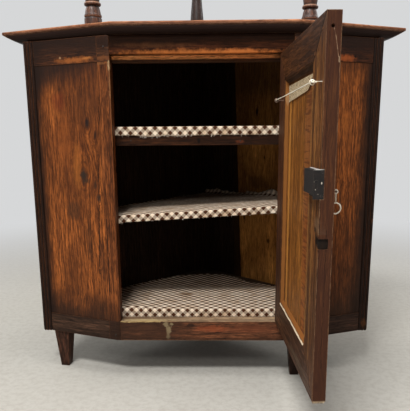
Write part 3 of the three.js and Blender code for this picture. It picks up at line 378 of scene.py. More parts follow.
def lineFrom(first, second, width, share=0.85, rag=0.3, colour=(24, 14, 10)):
    return {"ends": (first, second), "width": width, "share": share, "rag": rag, "colour": colour}


def patchOn(tree, place, at, reach, soft, rag, ragScale=40.0):
    return fillGroup(tree, softPatch, {
        "Position": place, "Middle": at, "Reach": reach, "Softness": soft, "Raggedness": rag, "Rag Scale": ragScale,
    }).outputs["Mask"]


def fadeOn(tree, place, fade):
    return fillGroup(tree, sideFade, {
        "Position": place, "Direction": fade["toward"], "Begin": fade["begin"], "Full": fade["full"],
        "Raggedness": fade["rag"], "Rag Scale": fade["ragScale"],
    }).outputs["Mask"]


def wearAndHighlightOn(tree, place, width, breakup):
    return fillGroup(tree, edgeWearAndHighlight, {"Position": place, "Width": width, "Breakup": breakup}).outputs["Mask"]


def spotted(tree, place, colour, spots):
    for spot in spots:
        mask = patchOn(tree, place, spot["at"], spot["reach"], spot["soft"], spot["rag"], spot["ragScale"])
        colour = tinted(tree, colour, mask, spot["share"], spot["colour"])
    return colour


def grainOn(tree, place, looks):  # one wood grain, spread round its knots
    marks = []
    for knot in looks["knots"]:
        shape = knotShapes[looks["grain"]]
        turned = fillGroup(
            tree, grainKnot, {"Position": place, "Middle": knot["at"], "Size": knot["size"], "Long": shape},
        )
        away = vectorSums(tree, "MULTIPLY", vectorSums(tree, "SUBTRACT", place, knot["at"]), shape)
        place = vectorSums(tree, "SUBTRACT", place, scaled(tree, away, turned.outputs["Pull"]))
        marks.append((turned.outputs["Core"], turned.outputs["Rim"], knot["colour"]))
    wood = fillGroup(tree, woodGrain, {
        "Position": place, "Stretch": stretches[looks["grain"]],
        **{key.capitalize(): paint(*looks[key]) for key in ("pale", "deep", "pore")},
        **{
            key.capitalize(): looks[key]
            for key in ("streaks", "rings", "pores", "clouds", "contrast", "shift", "waver")
        },
        "Ring Count": looks["ringCount"],
    })
    colour = wood.outputs["Colour"]
    for core, rim, dark in marks:
        colour = tinted(tree, colour, rim, 0.5, looks["deep"])
        colour = tinted(tree, colour, core, 0.85, dark)
    return colour, wood


def woodFinish(name, looks, low=None, high=None):
    looks = {**woodDefaults, **looks}
    material, tree, place = startFinish(name)
    colour, wood = grainOn(tree, place, looks)
    for part in looks["parts"]:  # other grain beyond a joint
        other, _ = grainOn(tree, place, {**looks, **part["looks"], "knots": []})
        colour = mixed(tree, fadeOn(tree, place, part), colour, other)
    for band in looks["ladders"]:  # short rays across the grain inside a band
        inside = patchOn(tree, place, band["at"], band["reach"], 0.35, 0.35, 30.0)
        rays = noiseOn(tree, vectorSums(tree, "MULTIPLY", place, band["stretch"]), rayScale, 1.5, 0.5, 0.3)
        dark = times(tree, spread(tree, rays, 0.5, 0.56), inside)
        colour = tinted(tree, colour, inside, band["lift"], band["ground"])
        colour = tinted(tree, colour, dark, band["share"], band["ray"])
    colour = spotted(tree, place, colour, looks["spots"])
    for fade in looks["fades"]:
        colour = tinted(tree, colour, fadeOn(tree, place, fade), fade["share"], fade["colour"])
    # grime and painted shade toward the piece's borders
    if low is not None and looks["grimeAndShadeOn"] != "none":
        mask = fillGroup(tree, borderGrimeAndShade, {
            "Position": place, "Low Corner": tuple(low), "High Corner": tuple(high),
            "Use": grimeAndShadeAxes[looks["grimeAndShadeOn"]], "Reach": looks["grimeAndShadeReach"], "Raggedness": looks["grimeAndShadeRag"],
        }).outputs["Mask"]
        colour = tinted(tree, colour, mask, looks["grimeAndShade"], looks["grimeAndShadeColour"])
    for line in looks["lines"]:
        mask = fillGroup(tree, jointLine, {
            "Position": place, "First End": line["ends"][0], "Second End": line["ends"][1],
            "Width": line["width"], "Raggedness": line["rag"],
        }).outputs["Mask"]
        colour = tinted(tree, colour, mask, line["share"], line["colour"])
    # pale rubbed edges: wear, and on some pieces a painted highlight
    if looks["wearAndHighlight"] > 0:
        mask = wearAndHighlightOn(tree, place, looks["wearAndHighlightWidth"], looks["wearAndHighlightBreakup"])
        for sunkAt, reach in looks["unworn"]:  # sunk places that no hand has rubbed
            sunk = patchOn(tree, place, sunkAt, reach, 0.2, 0.0)
            mask = times(tree, mask, sums(tree, "SUBTRACT", 1.0, sunk))
        colour = tinted(tree, colour, mask, looks["wearAndHighlight"], looks["wearAndHighlightColour"])
    gloss = sums(tree, "MULTIPLY_ADD", wood.outputs["Streak"], streakGloss, looks["rough"])
    endFinish(tree, colour, gloss, wood.outputs["Height"], looks["bump"], grainDepth, looks["specular"])
    return material


weldReach = 0.00002
arrisAngle = math.radians(35)


def softenEdges(obj, width):  # worn arrises
    weld = obj.modifiers.new("weld", "WELD")
    weld.merge_threshold = weldReach
    bevel = obj.modifiers.new("arris", "BEVEL")
    bevel.width = width
    bevel.segments = 2
    bevel.limit_method = "ANGLE"
    bevel.angle_limit = arrisAngle
    bevel.harden_normals = False


def finishNodes(looksByNode, base):
    for name, looks in looksByNode.items():
        looks = {**woodDefaults, **base, **looks}
        obj = nodes[name]
        material = woodFinish(name + "Finish", looks, *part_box(name))
        obj.data.materials.clear()
        obj.data.materials.append(material)
        if looks["arris"] > 0:
            softenEdges(obj, looks["arris"])


# carcase woods: colours are screen colours, places are in metres
overJoint = [  # the stiles show the rails' grain above and below these two joints
    partFrom(upward, 0.8492, 0.8502, {"grain": "level", "pale": (100, 62, 38), "deep": (44, 27, 19)}),
    partFrom(downward, -0.1672, -0.1662, {"grain": "level", "pale": (84, 57, 42), "deep": (40, 27, 20)}),
]
frontFace = -0.0893  # where the front frame's outer side is
frontBase = {"pale": (128, 70, 38), "deep": (56, 29, 17), "pore": (20, 12, 8), "grimeAndShadeOn": "none"}
frontLooks = {
    "stile_left": {
        "pale": (156, 88, 44), "deep": (54, 28, 17), "shift": 3.1, "parts": overJoint,
        "wearAndHighlight": 0.5, "wearAndHighlightColour": (150, 96, 56), "wearAndHighlightWidth": 0.002,
        "lines": [
            lineFrom((-0.27, -0.079, 0.850), (-0.2, -0.11, 0.8497), 0.0022),
            lineFrom((-0.27, -0.079, 0.167), (-0.2, -0.11, 0.1666), 0.0024),
            lineFrom((-0.2575, -0.083, 0.45), (-0.2565, -0.0835, 0.25), 0.0026, rag=0.6),
            lineFrom((-0.246, frontFace, 0.36), (-0.2455, frontFace, 0.20), 0.0022, 0.7, 0.7),
            lineFrom((-0.2395, frontFace, 0.845), (-0.2385, frontFace, 0.55), 0.0018, 0.6, 0.7),
        ],
        "fades": [
            fadeTo(upward, 0.77, 0.86, (48, 28, 19), 0.3, 0.03),
            fadeTo(downward, -0.26, -0.17, (42, 26, 18), 0.7, 0.03),
        ],
        "spots": [
            spotAt((-0.2315, frontFace, 0.840), (0.0042, 0.02, 0.016), (206, 176, 132), 0.9, 0.8, 90.0),
            spotAt((-0.231, frontFace, 0.80), (0.0032, 0.012, 0.06), (150, 104, 66), 0.6, 0.8, 80.0),
            spotAt((-0.2312, frontFace, 0.70), (0.0022, 0.012, 0.09), (120, 76, 44), 0.6, 0.9, 90.0),
            spotAt((-0.25, -0.086, 0.846), (0.03, 0.03, 0.004), (140, 92, 54), 0.5, 0.9, 80.0),
            # an orange band of painted light across the top, and above it a painted shadow of the top board's overhang
            spotAt((-0.245, -0.086, 0.8585), (0.04, 0.03, 0.008), (138, 82, 44), 0.5, 0.9, 70.0),
            spotAt((-0.245, -0.086, 0.894), (0.05, 0.03, 0.020), (24, 14, 10), 0.85, 0.5, 50.0),
        ],
    },
    "stile_right": {"pale": (104, 60, 34), "deep": (40, 23, 15), "shift": 5.3, "parts": overJoint},
    "wing_panel_left": {
        "pale": (176, 99, 46), "deep": (66, 34, 19), "pore": (24, 13, 9), "clouds": 0.6, "streaks": 0.6,
        "rings": 0.3, "ringCount": 62.0, "shift": 1.7, "waver": 0.016, "wearAndHighlight": 0.0, "contrast": 0.32,
        "knots": [
            knotAt((-0.2997, -0.0651, 0.7010), 0.015, (40, 26, 20)),
            knotAt((-0.2811, -0.0722, 0.6730), 0.011, (40, 26, 20)),
            knotAt((-0.3167, -0.0585, 0.5640), 0.022, (50, 36, 28)),
            knotAt((-0.2913, -0.0683, 0.5441), 0.010, (52, 36, 26)),
            knotAt((-0.2759, -0.0742, 0.5070), 0.011, (58, 40, 30)),
        ],
        "fades": [
            fadeTo(upward, 0.76, 0.853, (50, 30, 22), 0.75, 0.04, 14.0),
            fadeTo((-0.4, 0, 1), 0.93, 0.99, (30, 22, 19), rag=0.02, ragScale=18.0),
            fadeTo(downward, -0.27, -0.165, (44, 29, 21), 0.9, 0.05, 16.0),
            fadeTo(leftward, 0.415, 0.446, (30, 19, 14), 0.9, 0.010, 20.0),
        ],
        "spots": [
            spotAt((-0.355, -0.044, 0.47), (0.03, 0.05, 0.035), (58, 40, 27), 0.55, 0.6),
            spotAt((-0.300, -0.065, 0.745), (0.06, 0.05, 0.06), (70, 40, 24), 0.45, 0.7),
            spotAt((-0.336, -0.051, 0.585), (0.02, 0.04, 0.09), (196, 118, 50), 0.22, 0.9, soft=0.95),
            spotAt((-0.37, -0.038, 0.66), (0.05, 0.05, 0.10), (170, 92, 42), 0.25, 0.9, soft=0.95),
            spotAt((-0.3185, -0.0575, 0.5660), (0.012, 0.02, 0.013), (46, 37, 30), rag=0.9, ragScale=110.0),
            spotAt((-0.306, -0.0625, 0.551), (0.010, 0.02, 0.008), (52, 40, 30), 0.6, 1.0, 120.0),
            spotAt((-0.3000, -0.0650, 0.7020), (0.007, 0.02, 0.011), (40, 31, 28), rag=0.8, ragScale=120.0),
            spotAt((-0.276, -0.0742, 0.507), (0.008, 0.02, 0.014), (64, 46, 34), 0.7, 0.7, 100.0),
            spotAt((-0.276, -0.074, 0.33), (0.012, 0.03, 0.08), (44, 30, 24), 0.5, 0.7, 60.0),
            spotAt((-0.31, -0.06, 0.40), (0.012, 0.03, 0.10), (62, 38, 24), 0.5, 0.8),
            spotAt((-0.38, -0.03, 0.76), (0.03, 0.04, 0.03), (110, 46, 26), 0.4, 0.7),
            spotAt((-0.365, -0.04, 0.290), (0.06, 0.06, 0.11), (74, 40, 21), 0.6, 0.6, soft=0.95),
        ],
        "lines": [
            lineFrom((-0.2725, -0.0755, 0.62), (-0.283, -0.0715, 0.30), 0.0026, 0.75, 0.8),
            lineFrom((-0.2795, -0.0728, 0.43), (-0.289, -0.069, 0.24), 0.0022, 0.7, 0.8),
            lineFrom((-0.262, -0.0795, 0.78), (-0.268, -0.0772, 0.66), 0.0022, 0.7, 0.8),
            lineFrom((-0.302, -0.064, 0.53), (-0.306, -0.0625, 0.33), 0.0020, 0.65, 0.9),
            lineFrom((-0.268, -0.077, 0.56), (-0.274, -0.0745, 0.36), 0.0016, 0.6, 0.9),
            lineFrom((-0.312, -0.06, 0.80), (-0.30, -0.0645, 0.70), 0.0018, 0.6, 0.9),
            lineFrom((-0.288, -0.07, 0.645), (-0.275, -0.0743, 0.56), 0.0018, 0.6, 0.9),
        ],
    },
    "wing_panel_right": {
        "pale": (158, 88, 40), "deep": (60, 31, 17), "clouds": 0.6, "rings": 0.3, "ringCount": 58.0, "grimeAndShadeOn": "none",
        "shift": 8.2, "waver": 0.018, "wearAndHighlight": 0.0, "contrast": 0.32,
        "fades": [
            fadeTo(downward, -0.27, -0.165, (56, 36, 25), 0.75, 0.05, 14.0),
            fadeTo(rightward, 0.40, 0.447, (26, 18, 14), 0.93, 0.014, 20.0),
            fadeTo((1, 0, -0.35), 0.22, 0.34, (46, 30, 21), 0.5, 0.03, 18.0),
            fadeTo(upward, 0.80, 0.853, (46, 27, 18), 0.6, 0.03),
        ],
        "spots": [
            spotAt((0.375, -0.034, 0.70), (0.018, 0.03, 0.05), (176, 100, 42), 0.3, 0.9, 60.0, 0.95),
            spotAt((0.345, -0.045, 0.50), (0.02, 0.03, 0.16), (140, 72, 34), 0.25, 0.9, 50.0, 0.95),
        ],
        "lines": [
            lineFrom((0.352, -0.043, 0.655), (0.385, -0.03, 0.668), 0.0016, 0.6, 0.9),
            lineFrom((0.375, -0.034, 0.75), (0.369, -0.036, 0.64), 0.0018, 0.6, 0.9),
        ],
    },
    "base_rail_left": {
        # darker toward the top and bottom: grime and painted shade
        "grain": "level", "pale": (80, 56, 42), "deep": (40, 28, 21), "grimeAndShadeOn": "z", "grimeAndShadeReach": 0.012,
        "shift": 2.2, "contrast": 0.4,
    },
    "base_rail_right": {
        # darker toward the top and bottom: grime and painted shade
        "grain": "level", "pale": (84, 56, 42), "deep": (38, 26, 20), "grimeAndShadeOn": "z", "grimeAndShadeReach": 0.012,
        "shift": 6.4, "contrast": 0.4,
    },
    "base_rail_front": {
        "grain": "across", "pale": (124, 76, 50), "deep": (50, 31, 22), "shift": 4.4, "contrast": 0.4, "clouds": 0.7,
        "fades": [
            fadeTo(leftward, -0.02, 0.14, (56, 38, 28), 0.5, 0.05),
            fadeTo(downward, -0.125, -0.112, (38, 25, 18), 0.7, 0.005),
        ],
        "parts": [partFrom(upward, 0.1657, 0.1667, {"pale": (196, 168, 134), "deep": (134, 108, 82)})],
        "spots": [
            spotAt((-0.163, -0.078, 0.167), (0.085, 0.014, 0.004), (240, 212, 156), 0.85, 1.0, 60.0),
            spotAt((-0.15, -0.085, 0.166), (0.08, 0.004, 0.004), (196, 158, 98), 0.75, 1.0, 90.0),
            spotAt((-0.20, -0.066, 0.167), (0.05, 0.008, 0.003), (142, 112, 80), 0.5, 1.0, 80.0),
            spotAt((-0.10, -0.062, 0.167), (0.06, 0.010, 0.003), (132, 106, 80), 0.45, 1.0, 80.0),
            spotAt((0.11, -0.080, 0.167), (0.15, 0.016, 0.004), (110, 86, 66), 0.55, 0.9, 60.0),
            spotAt((-0.02, -0.086, 0.167), (0.05, 0.010, 0.004), (84, 64, 48), 0.6, 1.0, 70.0),
            spotAt((-0.235, -0.075, 0.167), (0.012, 0.02, 0.004), (60, 42, 30), rag=0.8, ragScale=90.0),
            spotAt((-0.104, -0.089, 0.158), (0.009, 0.03, 0.012), (168, 148, 112), 0.85, 0.9, 110.0),
            spotAt((-0.0955, -0.089, 0.145), (0.009, 0.03, 0.016), (166, 146, 110), rag=1.0, ragScale=130.0),
            spotAt((-0.098, -0.089, 0.126), (0.007, 0.03, 0.018), (150, 130, 98), 0.7, 1.0, 120.0),
            spotAt((-0.088, -0.089, 0.160), (0.006, 0.03, 0.006), (176, 156, 118), 0.7, 0.9, 120.0),
            spotAt((0.0592, frontFace, 0.1177), (0.0032, 0.004, 0.0028), (10, 7, 6), 1.0, 0.1),
            spotAt((-0.035, frontFace, 0.157), (0.014, 0.03, 0.006), (30, 21, 17), rag=0.8, ragScale=80.0),
            spotAt((0.02, frontFace, 0.146), (0.055, 0.03, 0.013), (146, 72, 42), 0.55, 0.8, 60.0),
            spotAt((0.13, frontFace, 0.145), (0.09, 0.03, 0.015), (120, 66, 42), 0.45, 0.8),
            spotAt((-0.165, frontFace, 0.15), (0.05, 0.03, 0.012), (92, 58, 40), 0.6, 0.8),
        ],
        "lines": [
            lineFrom((-0.228, frontFace, 0.1655), (-0.12, frontFace, 0.1662), 0.0018, 0.7, 0.9, (212, 184, 126)),
            lineFrom((-0.23, frontFace, 0.1128), (0.20, frontFace, 0.1128), 0.0012, 0.5, 0.9, (140, 104, 78)),
        ],
    },
    "frieze_left": {
        "grain": "level", "pale": (108, 62, 36), "deep": (40, 24, 17), "clouds": 0.85, "shift": 2.9, "contrast": 0.4,
        "fades": [
            # a painted shadow of the top board's overhang darkens the upper part
            fadeTo(upward, 0.858, 0.892, (34, 21, 15), 0.85, 0.015, 18.0),
            fadeTo(leftward, 0.39, 0.44, (30, 19, 14), rag=0.01),
        ],
        "spots": [
            # an orange band of painted light along the lower part
            spotAt((-0.325, -0.055, 0.8585), (0.075, 0.06, 0.011), (170, 98, 48), 0.62, 0.9, 70.0, 0.95),
            spotAt((-0.29, -0.07, 0.861), (0.02, 0.05, 0.005), (190, 120, 62), 0.5, 0.9, 90.0, 0.9),
            spotAt((-0.3668, -0.0406, 0.8660), (0.004, 0.02, 0.004), (186, 146, 106), 0.6, 0.9, 150.0),
            # a lighter patch within that painted shadow
            spotAt((-0.35, -0.045, 0.885), (0.05, 0.06, 0.012), (84, 50, 32), 0.4, 0.9, 50.0),
        ],
    },
    "frieze_right": {
        "grain": "level", "pale": (104, 57, 32), "deep": (38, 22, 15), "clouds": 0.85, "shift": 9.4, "contrast": 0.4,
        # a painted shadow of the top board's overhang darkens the upper part
        "fades": [fadeTo(upward, 0.868, 0.895, (34, 21, 15), 0.85, 0.01, 18.0)],
        "spots": [
            # an orange band of painted light along the lower part
            spotAt((0.362, -0.042, 0.8585), (0.05, 0.05, 0.012), (168, 86, 42), 0.6, 0.9, 70.0, 0.9),
            spotAt((0.3947, -0.0299, 0.8635), (0.004, 0.006, 0.004), (10, 7, 5), 1.0, 0.1),
        ],
    },
    "frieze_front": {
        "grain": "across", "pale": (82, 44, 25), "deep": (30, 16, 10), "clouds": 0.8, "streaks": 0.6,
        "shift": 7.1, "contrast": 0.3, "arris": 0.002, "wearAndHighlight": 0.5,
        "wearAndHighlightColour": (150, 92, 48), "specular": 0.03,
        "fades": [
            # a painted shadow of the top board's overhang darkens the upper part
            fadeTo(upward, 0.878, 0.898, (20, 10, 5), 0.85, 0.010, 18.0),
        ],
        "spots": [
            # a lighter patch within that painted shadow, then an orange band of painted light along the lower part
            spotAt((-0.12, frontFace, 0.888), (0.13, 0.03, 0.010), (96, 60, 36), 0.5, 0.9, 50.0, 0.95),
            spotAt((-0.02, frontFace, 0.867), (0.24, 0.03, 0.014), (184, 106, 52), 0.75, 0.8, 60.0, 0.95),
            spotAt((0.10, frontFace, 0.868), (0.13, 0.03, 0.011), (196, 112, 56), 0.6, 0.9, 60.0, 0.9),
        ],
    },
    "head_stop": {
        # bright orange: painted light
        "grain": "across", "pale": (255, 178, 112), "deep": (236, 144, 84), "shift": 3.7, "wearAndHighlight": 0.2, "contrast": 0.3,
        "fades": [
            # darker toward the door: the door's painted shadow
            fadeTo(rightward, 0.17, 0.20, (70, 42, 26), rag=0.01, ragScale=14.0),
            fadeTo(downward, -0.8590, -0.8555, (34, 21, 15), 0.95, 0.0015, 40.0),
        ],
    },
    "post_left": {
        # pale rubbed edges: wear and painted highlight on the beads
        "pale": (50, 31, 22), "deep": (14, 9, 7), "wearAndHighlight": 0.9, "wearAndHighlightColour": (122, 74, 46), "wearAndHighlightWidth": 0.003,
        "wearAndHighlightBreakup": 0.7,
        "shift": 1.1, "contrast": 0.45,
        "fades": [fadeTo(downward, -0.36, -0.16, (24, 17, 14), 0.7, 0.04)],
    },
    "post_right": {
        # pale rubbed edges: wear and painted highlight on the beads
        "pale": (46, 29, 21), "deep": (13, 9, 7), "wearAndHighlight": 0.9, "wearAndHighlightColour": (104, 64, 42), "wearAndHighlightWidth": 0.003,
        "wearAndHighlightBreakup": 0.7,
        "shift": 4.9, "contrast": 0.45,
        "fades": [fadeTo(downward, -0.36, -0.16, (24, 18, 15), 0.6, 0.04)],
        "spots": [
            spotAt((0.47, 0.005, 0.44), (0.006, 0.02, 0.03), (150, 96, 56), 0.7, 0.9),
            spotAt((0.462, -0.002, 0.135), (0.012, 0.02, 0.016), (146, 92, 52), 0.6, 1.0, 120.0),
        ],
    },
    "top_board": {
        # pale rubbed edges: wear and painted highlight
        "grain": "across", "pale": (196, 134, 96), "deep": (128, 78, 52), "wearAndHighlight": 0.5, "wearAndHighlightColour": (226, 176, 136),
        "wearAndHighlightWidth": 0.004, "shift": 6.6, "contrast": 0.3,
        "fades": [
            # these fades leave a pale band along the top of the front edge: a painted highlight on its rounded arris
            fadeTo(downward, -0.9378, -0.9335, (74, 40, 28), 0.9, 0.0015, 40.0),
            fadeTo(downward, -0.9335, -0.9285, (26, 15, 11), 0.93, 0.0018, 40.0),
            fadeTo(upward, 0.9392, 0.9399, (124, 84, 60), 0.5, 0.0006),
        ],
        "spots": [
            spotAt((0.50, 0.03, 0.933), (0.10, 0.16, 0.014), (112, 68, 46), 0.7, 0.6),
            spotAt((-0.53, 0.03, 0.93), (0.05, 0.10, 0.02), (50, 33, 25), rag=0.7),
            spotAt((-0.40, -0.02, 0.931), (0.12, 0.05, 0.006), (110, 62, 42), 0.5, 0.8),
        ],
    },
    # the legs darken toward their top and bottom: grime and painted shade; the right leg's darker colours are painted
    # shade
    "leg_left": {"pale": (86, 54, 40), "deep": (34, 22, 16), "grimeAndShadeOn": "z", "shift": 5.8, "contrast": 0.4},
    "leg_right": {"pale": (58, 39, 30), "deep": (22, 15, 12), "grimeAndShadeOn": "z", "shift": 2.6, "contrast": 0.4},
    "leg_rear": {"pale": (60, 40, 30), "deep": (26, 17, 13), "grimeAndShadeOn": "z", "shift": 7.7},
}
finishNodes(frontLooks, frontBase)

insideBase = {
    "pale": (60, 41, 28), "deep": (26, 18, 13), "pore": (12, 9, 8), "rough": 0.7, "specular": 0.08, "wearAndHighlight": 0.0,
    "grimeAndShadeOn": "none", "arris": 0.0,
}
insideLooks = {
    name: {"shift": 1.3 * i} for i, name in enumerate(sorted(nodes))
    if name.startswith("back_board") or "cleat" in name
}
insideLooks["back_board_right_2"] = {
    "pale": (206, 142, 72), "deep": (128, 82, 40), "pore": (56, 36, 20), "rings": 0.35, "ringCount": 34.0,
    "clouds": 0.6, "shift": 2.0,
    "streaks": 0.4, "contrast": 0.35,
    "knots": [
        knotAt((0.166, 0.27, 0.742), 0.012), knotAt((0.13, 0.306, 0.40), 0.010),
        knotAt((0.205, 0.231, 0.33), 0.009), knotAt((0.19, 0.246, 0.60), 0.006),
    ],
    "fades": [  # an old dark stain with a slanting border, and painted shade under the top
        fadeTo((-1, 1, -0.0703), 0.1775, 0.1795, (22, 15, 11), 0.92, 0.001),
        # painted shade under the top
        fadeTo(upward, 0.72, 0.84, (48, 32, 22), 0.75, 0.03),
    ],
    "spots": [
        spotAt((0.17, 0.265, 0.52), (0.05, 0.05, 0.03), (92, 62, 34), 0.6, 0.9),
        spotAt((0.12, 0.30, 0.55), (0.02, 0.03, 0.06), (96, 62, 34), 0.5, 0.9),
    ],
    "lines": [lineFrom((0.11, 0.31, 0.63), (0.18, 0.25, 0.632), 0.0016, 0.6, 0.9)],
}
finishNodes(insideLooks, insideBase)

shelfBase = {
    "grain": "across", "pale": (66, 40, 24), "deep": (26, 16, 11), "rough": 0.6, "specular": 0.08,
    "grimeAndShadeOn": "none", "wearAndHighlight": 0.1,
}
shelfLooks = {
    "bottom_board": {"shift": 0.4, "pale": (104, 84, 66), "deep": (44, 32, 24)}, "shelf_middle": {"shift": 3.3},
    "shelf_upper": {"shift": 6.1},
    "shelf_upper_rail": {
        "shift": 8.8, "pale": (62, 34, 17), "deep": (24, 13, 8),
        "spots": [
            spotAt((-0.010, -0.0447, 0.655), (0.005, 0.02, 0.008), (12, 8, 7), 0.9, 0.6, 90.0),
            spotAt((0.10, -0.0447, 0.652), (0.016, 0.02, 0.006), (110, 56, 34), 0.5, 0.8),
            spotAt((0.13, -0.0447, 0.66), (0.003, 0.02, 0.003), (14, 9, 8), 0.9),
        ],
    },
}
finishNodes(shelfLooks, shelfBase)

# the door: its free edge faces along doorFront
doorFront = (0.045363, -0.998971, 0)
doorPin = (0.226, -0.0942533)
doorTurn = math.radians(92.6)
doorFace, panelFace = 31, 22  # millimetres from the pin's line to the inner faces of the frame and the panel


def onDoorWay(x, y):  # a direction on the door: x from the free edge to the pin, y to the inner face
    c, s = math.cos(doorTurn), math.sin(doorTurn)
    return (c * x - s * y, s * x + c * y, 0)


def onDoor(x, y, z):  # a place on the door, in millimetres from the pin and from the floor
    wayX, wayY, _ = onDoorWay(x, y)
    return (doorPin[0] + wayX * mm, doorPin[1] + wayY * mm, z * mm)


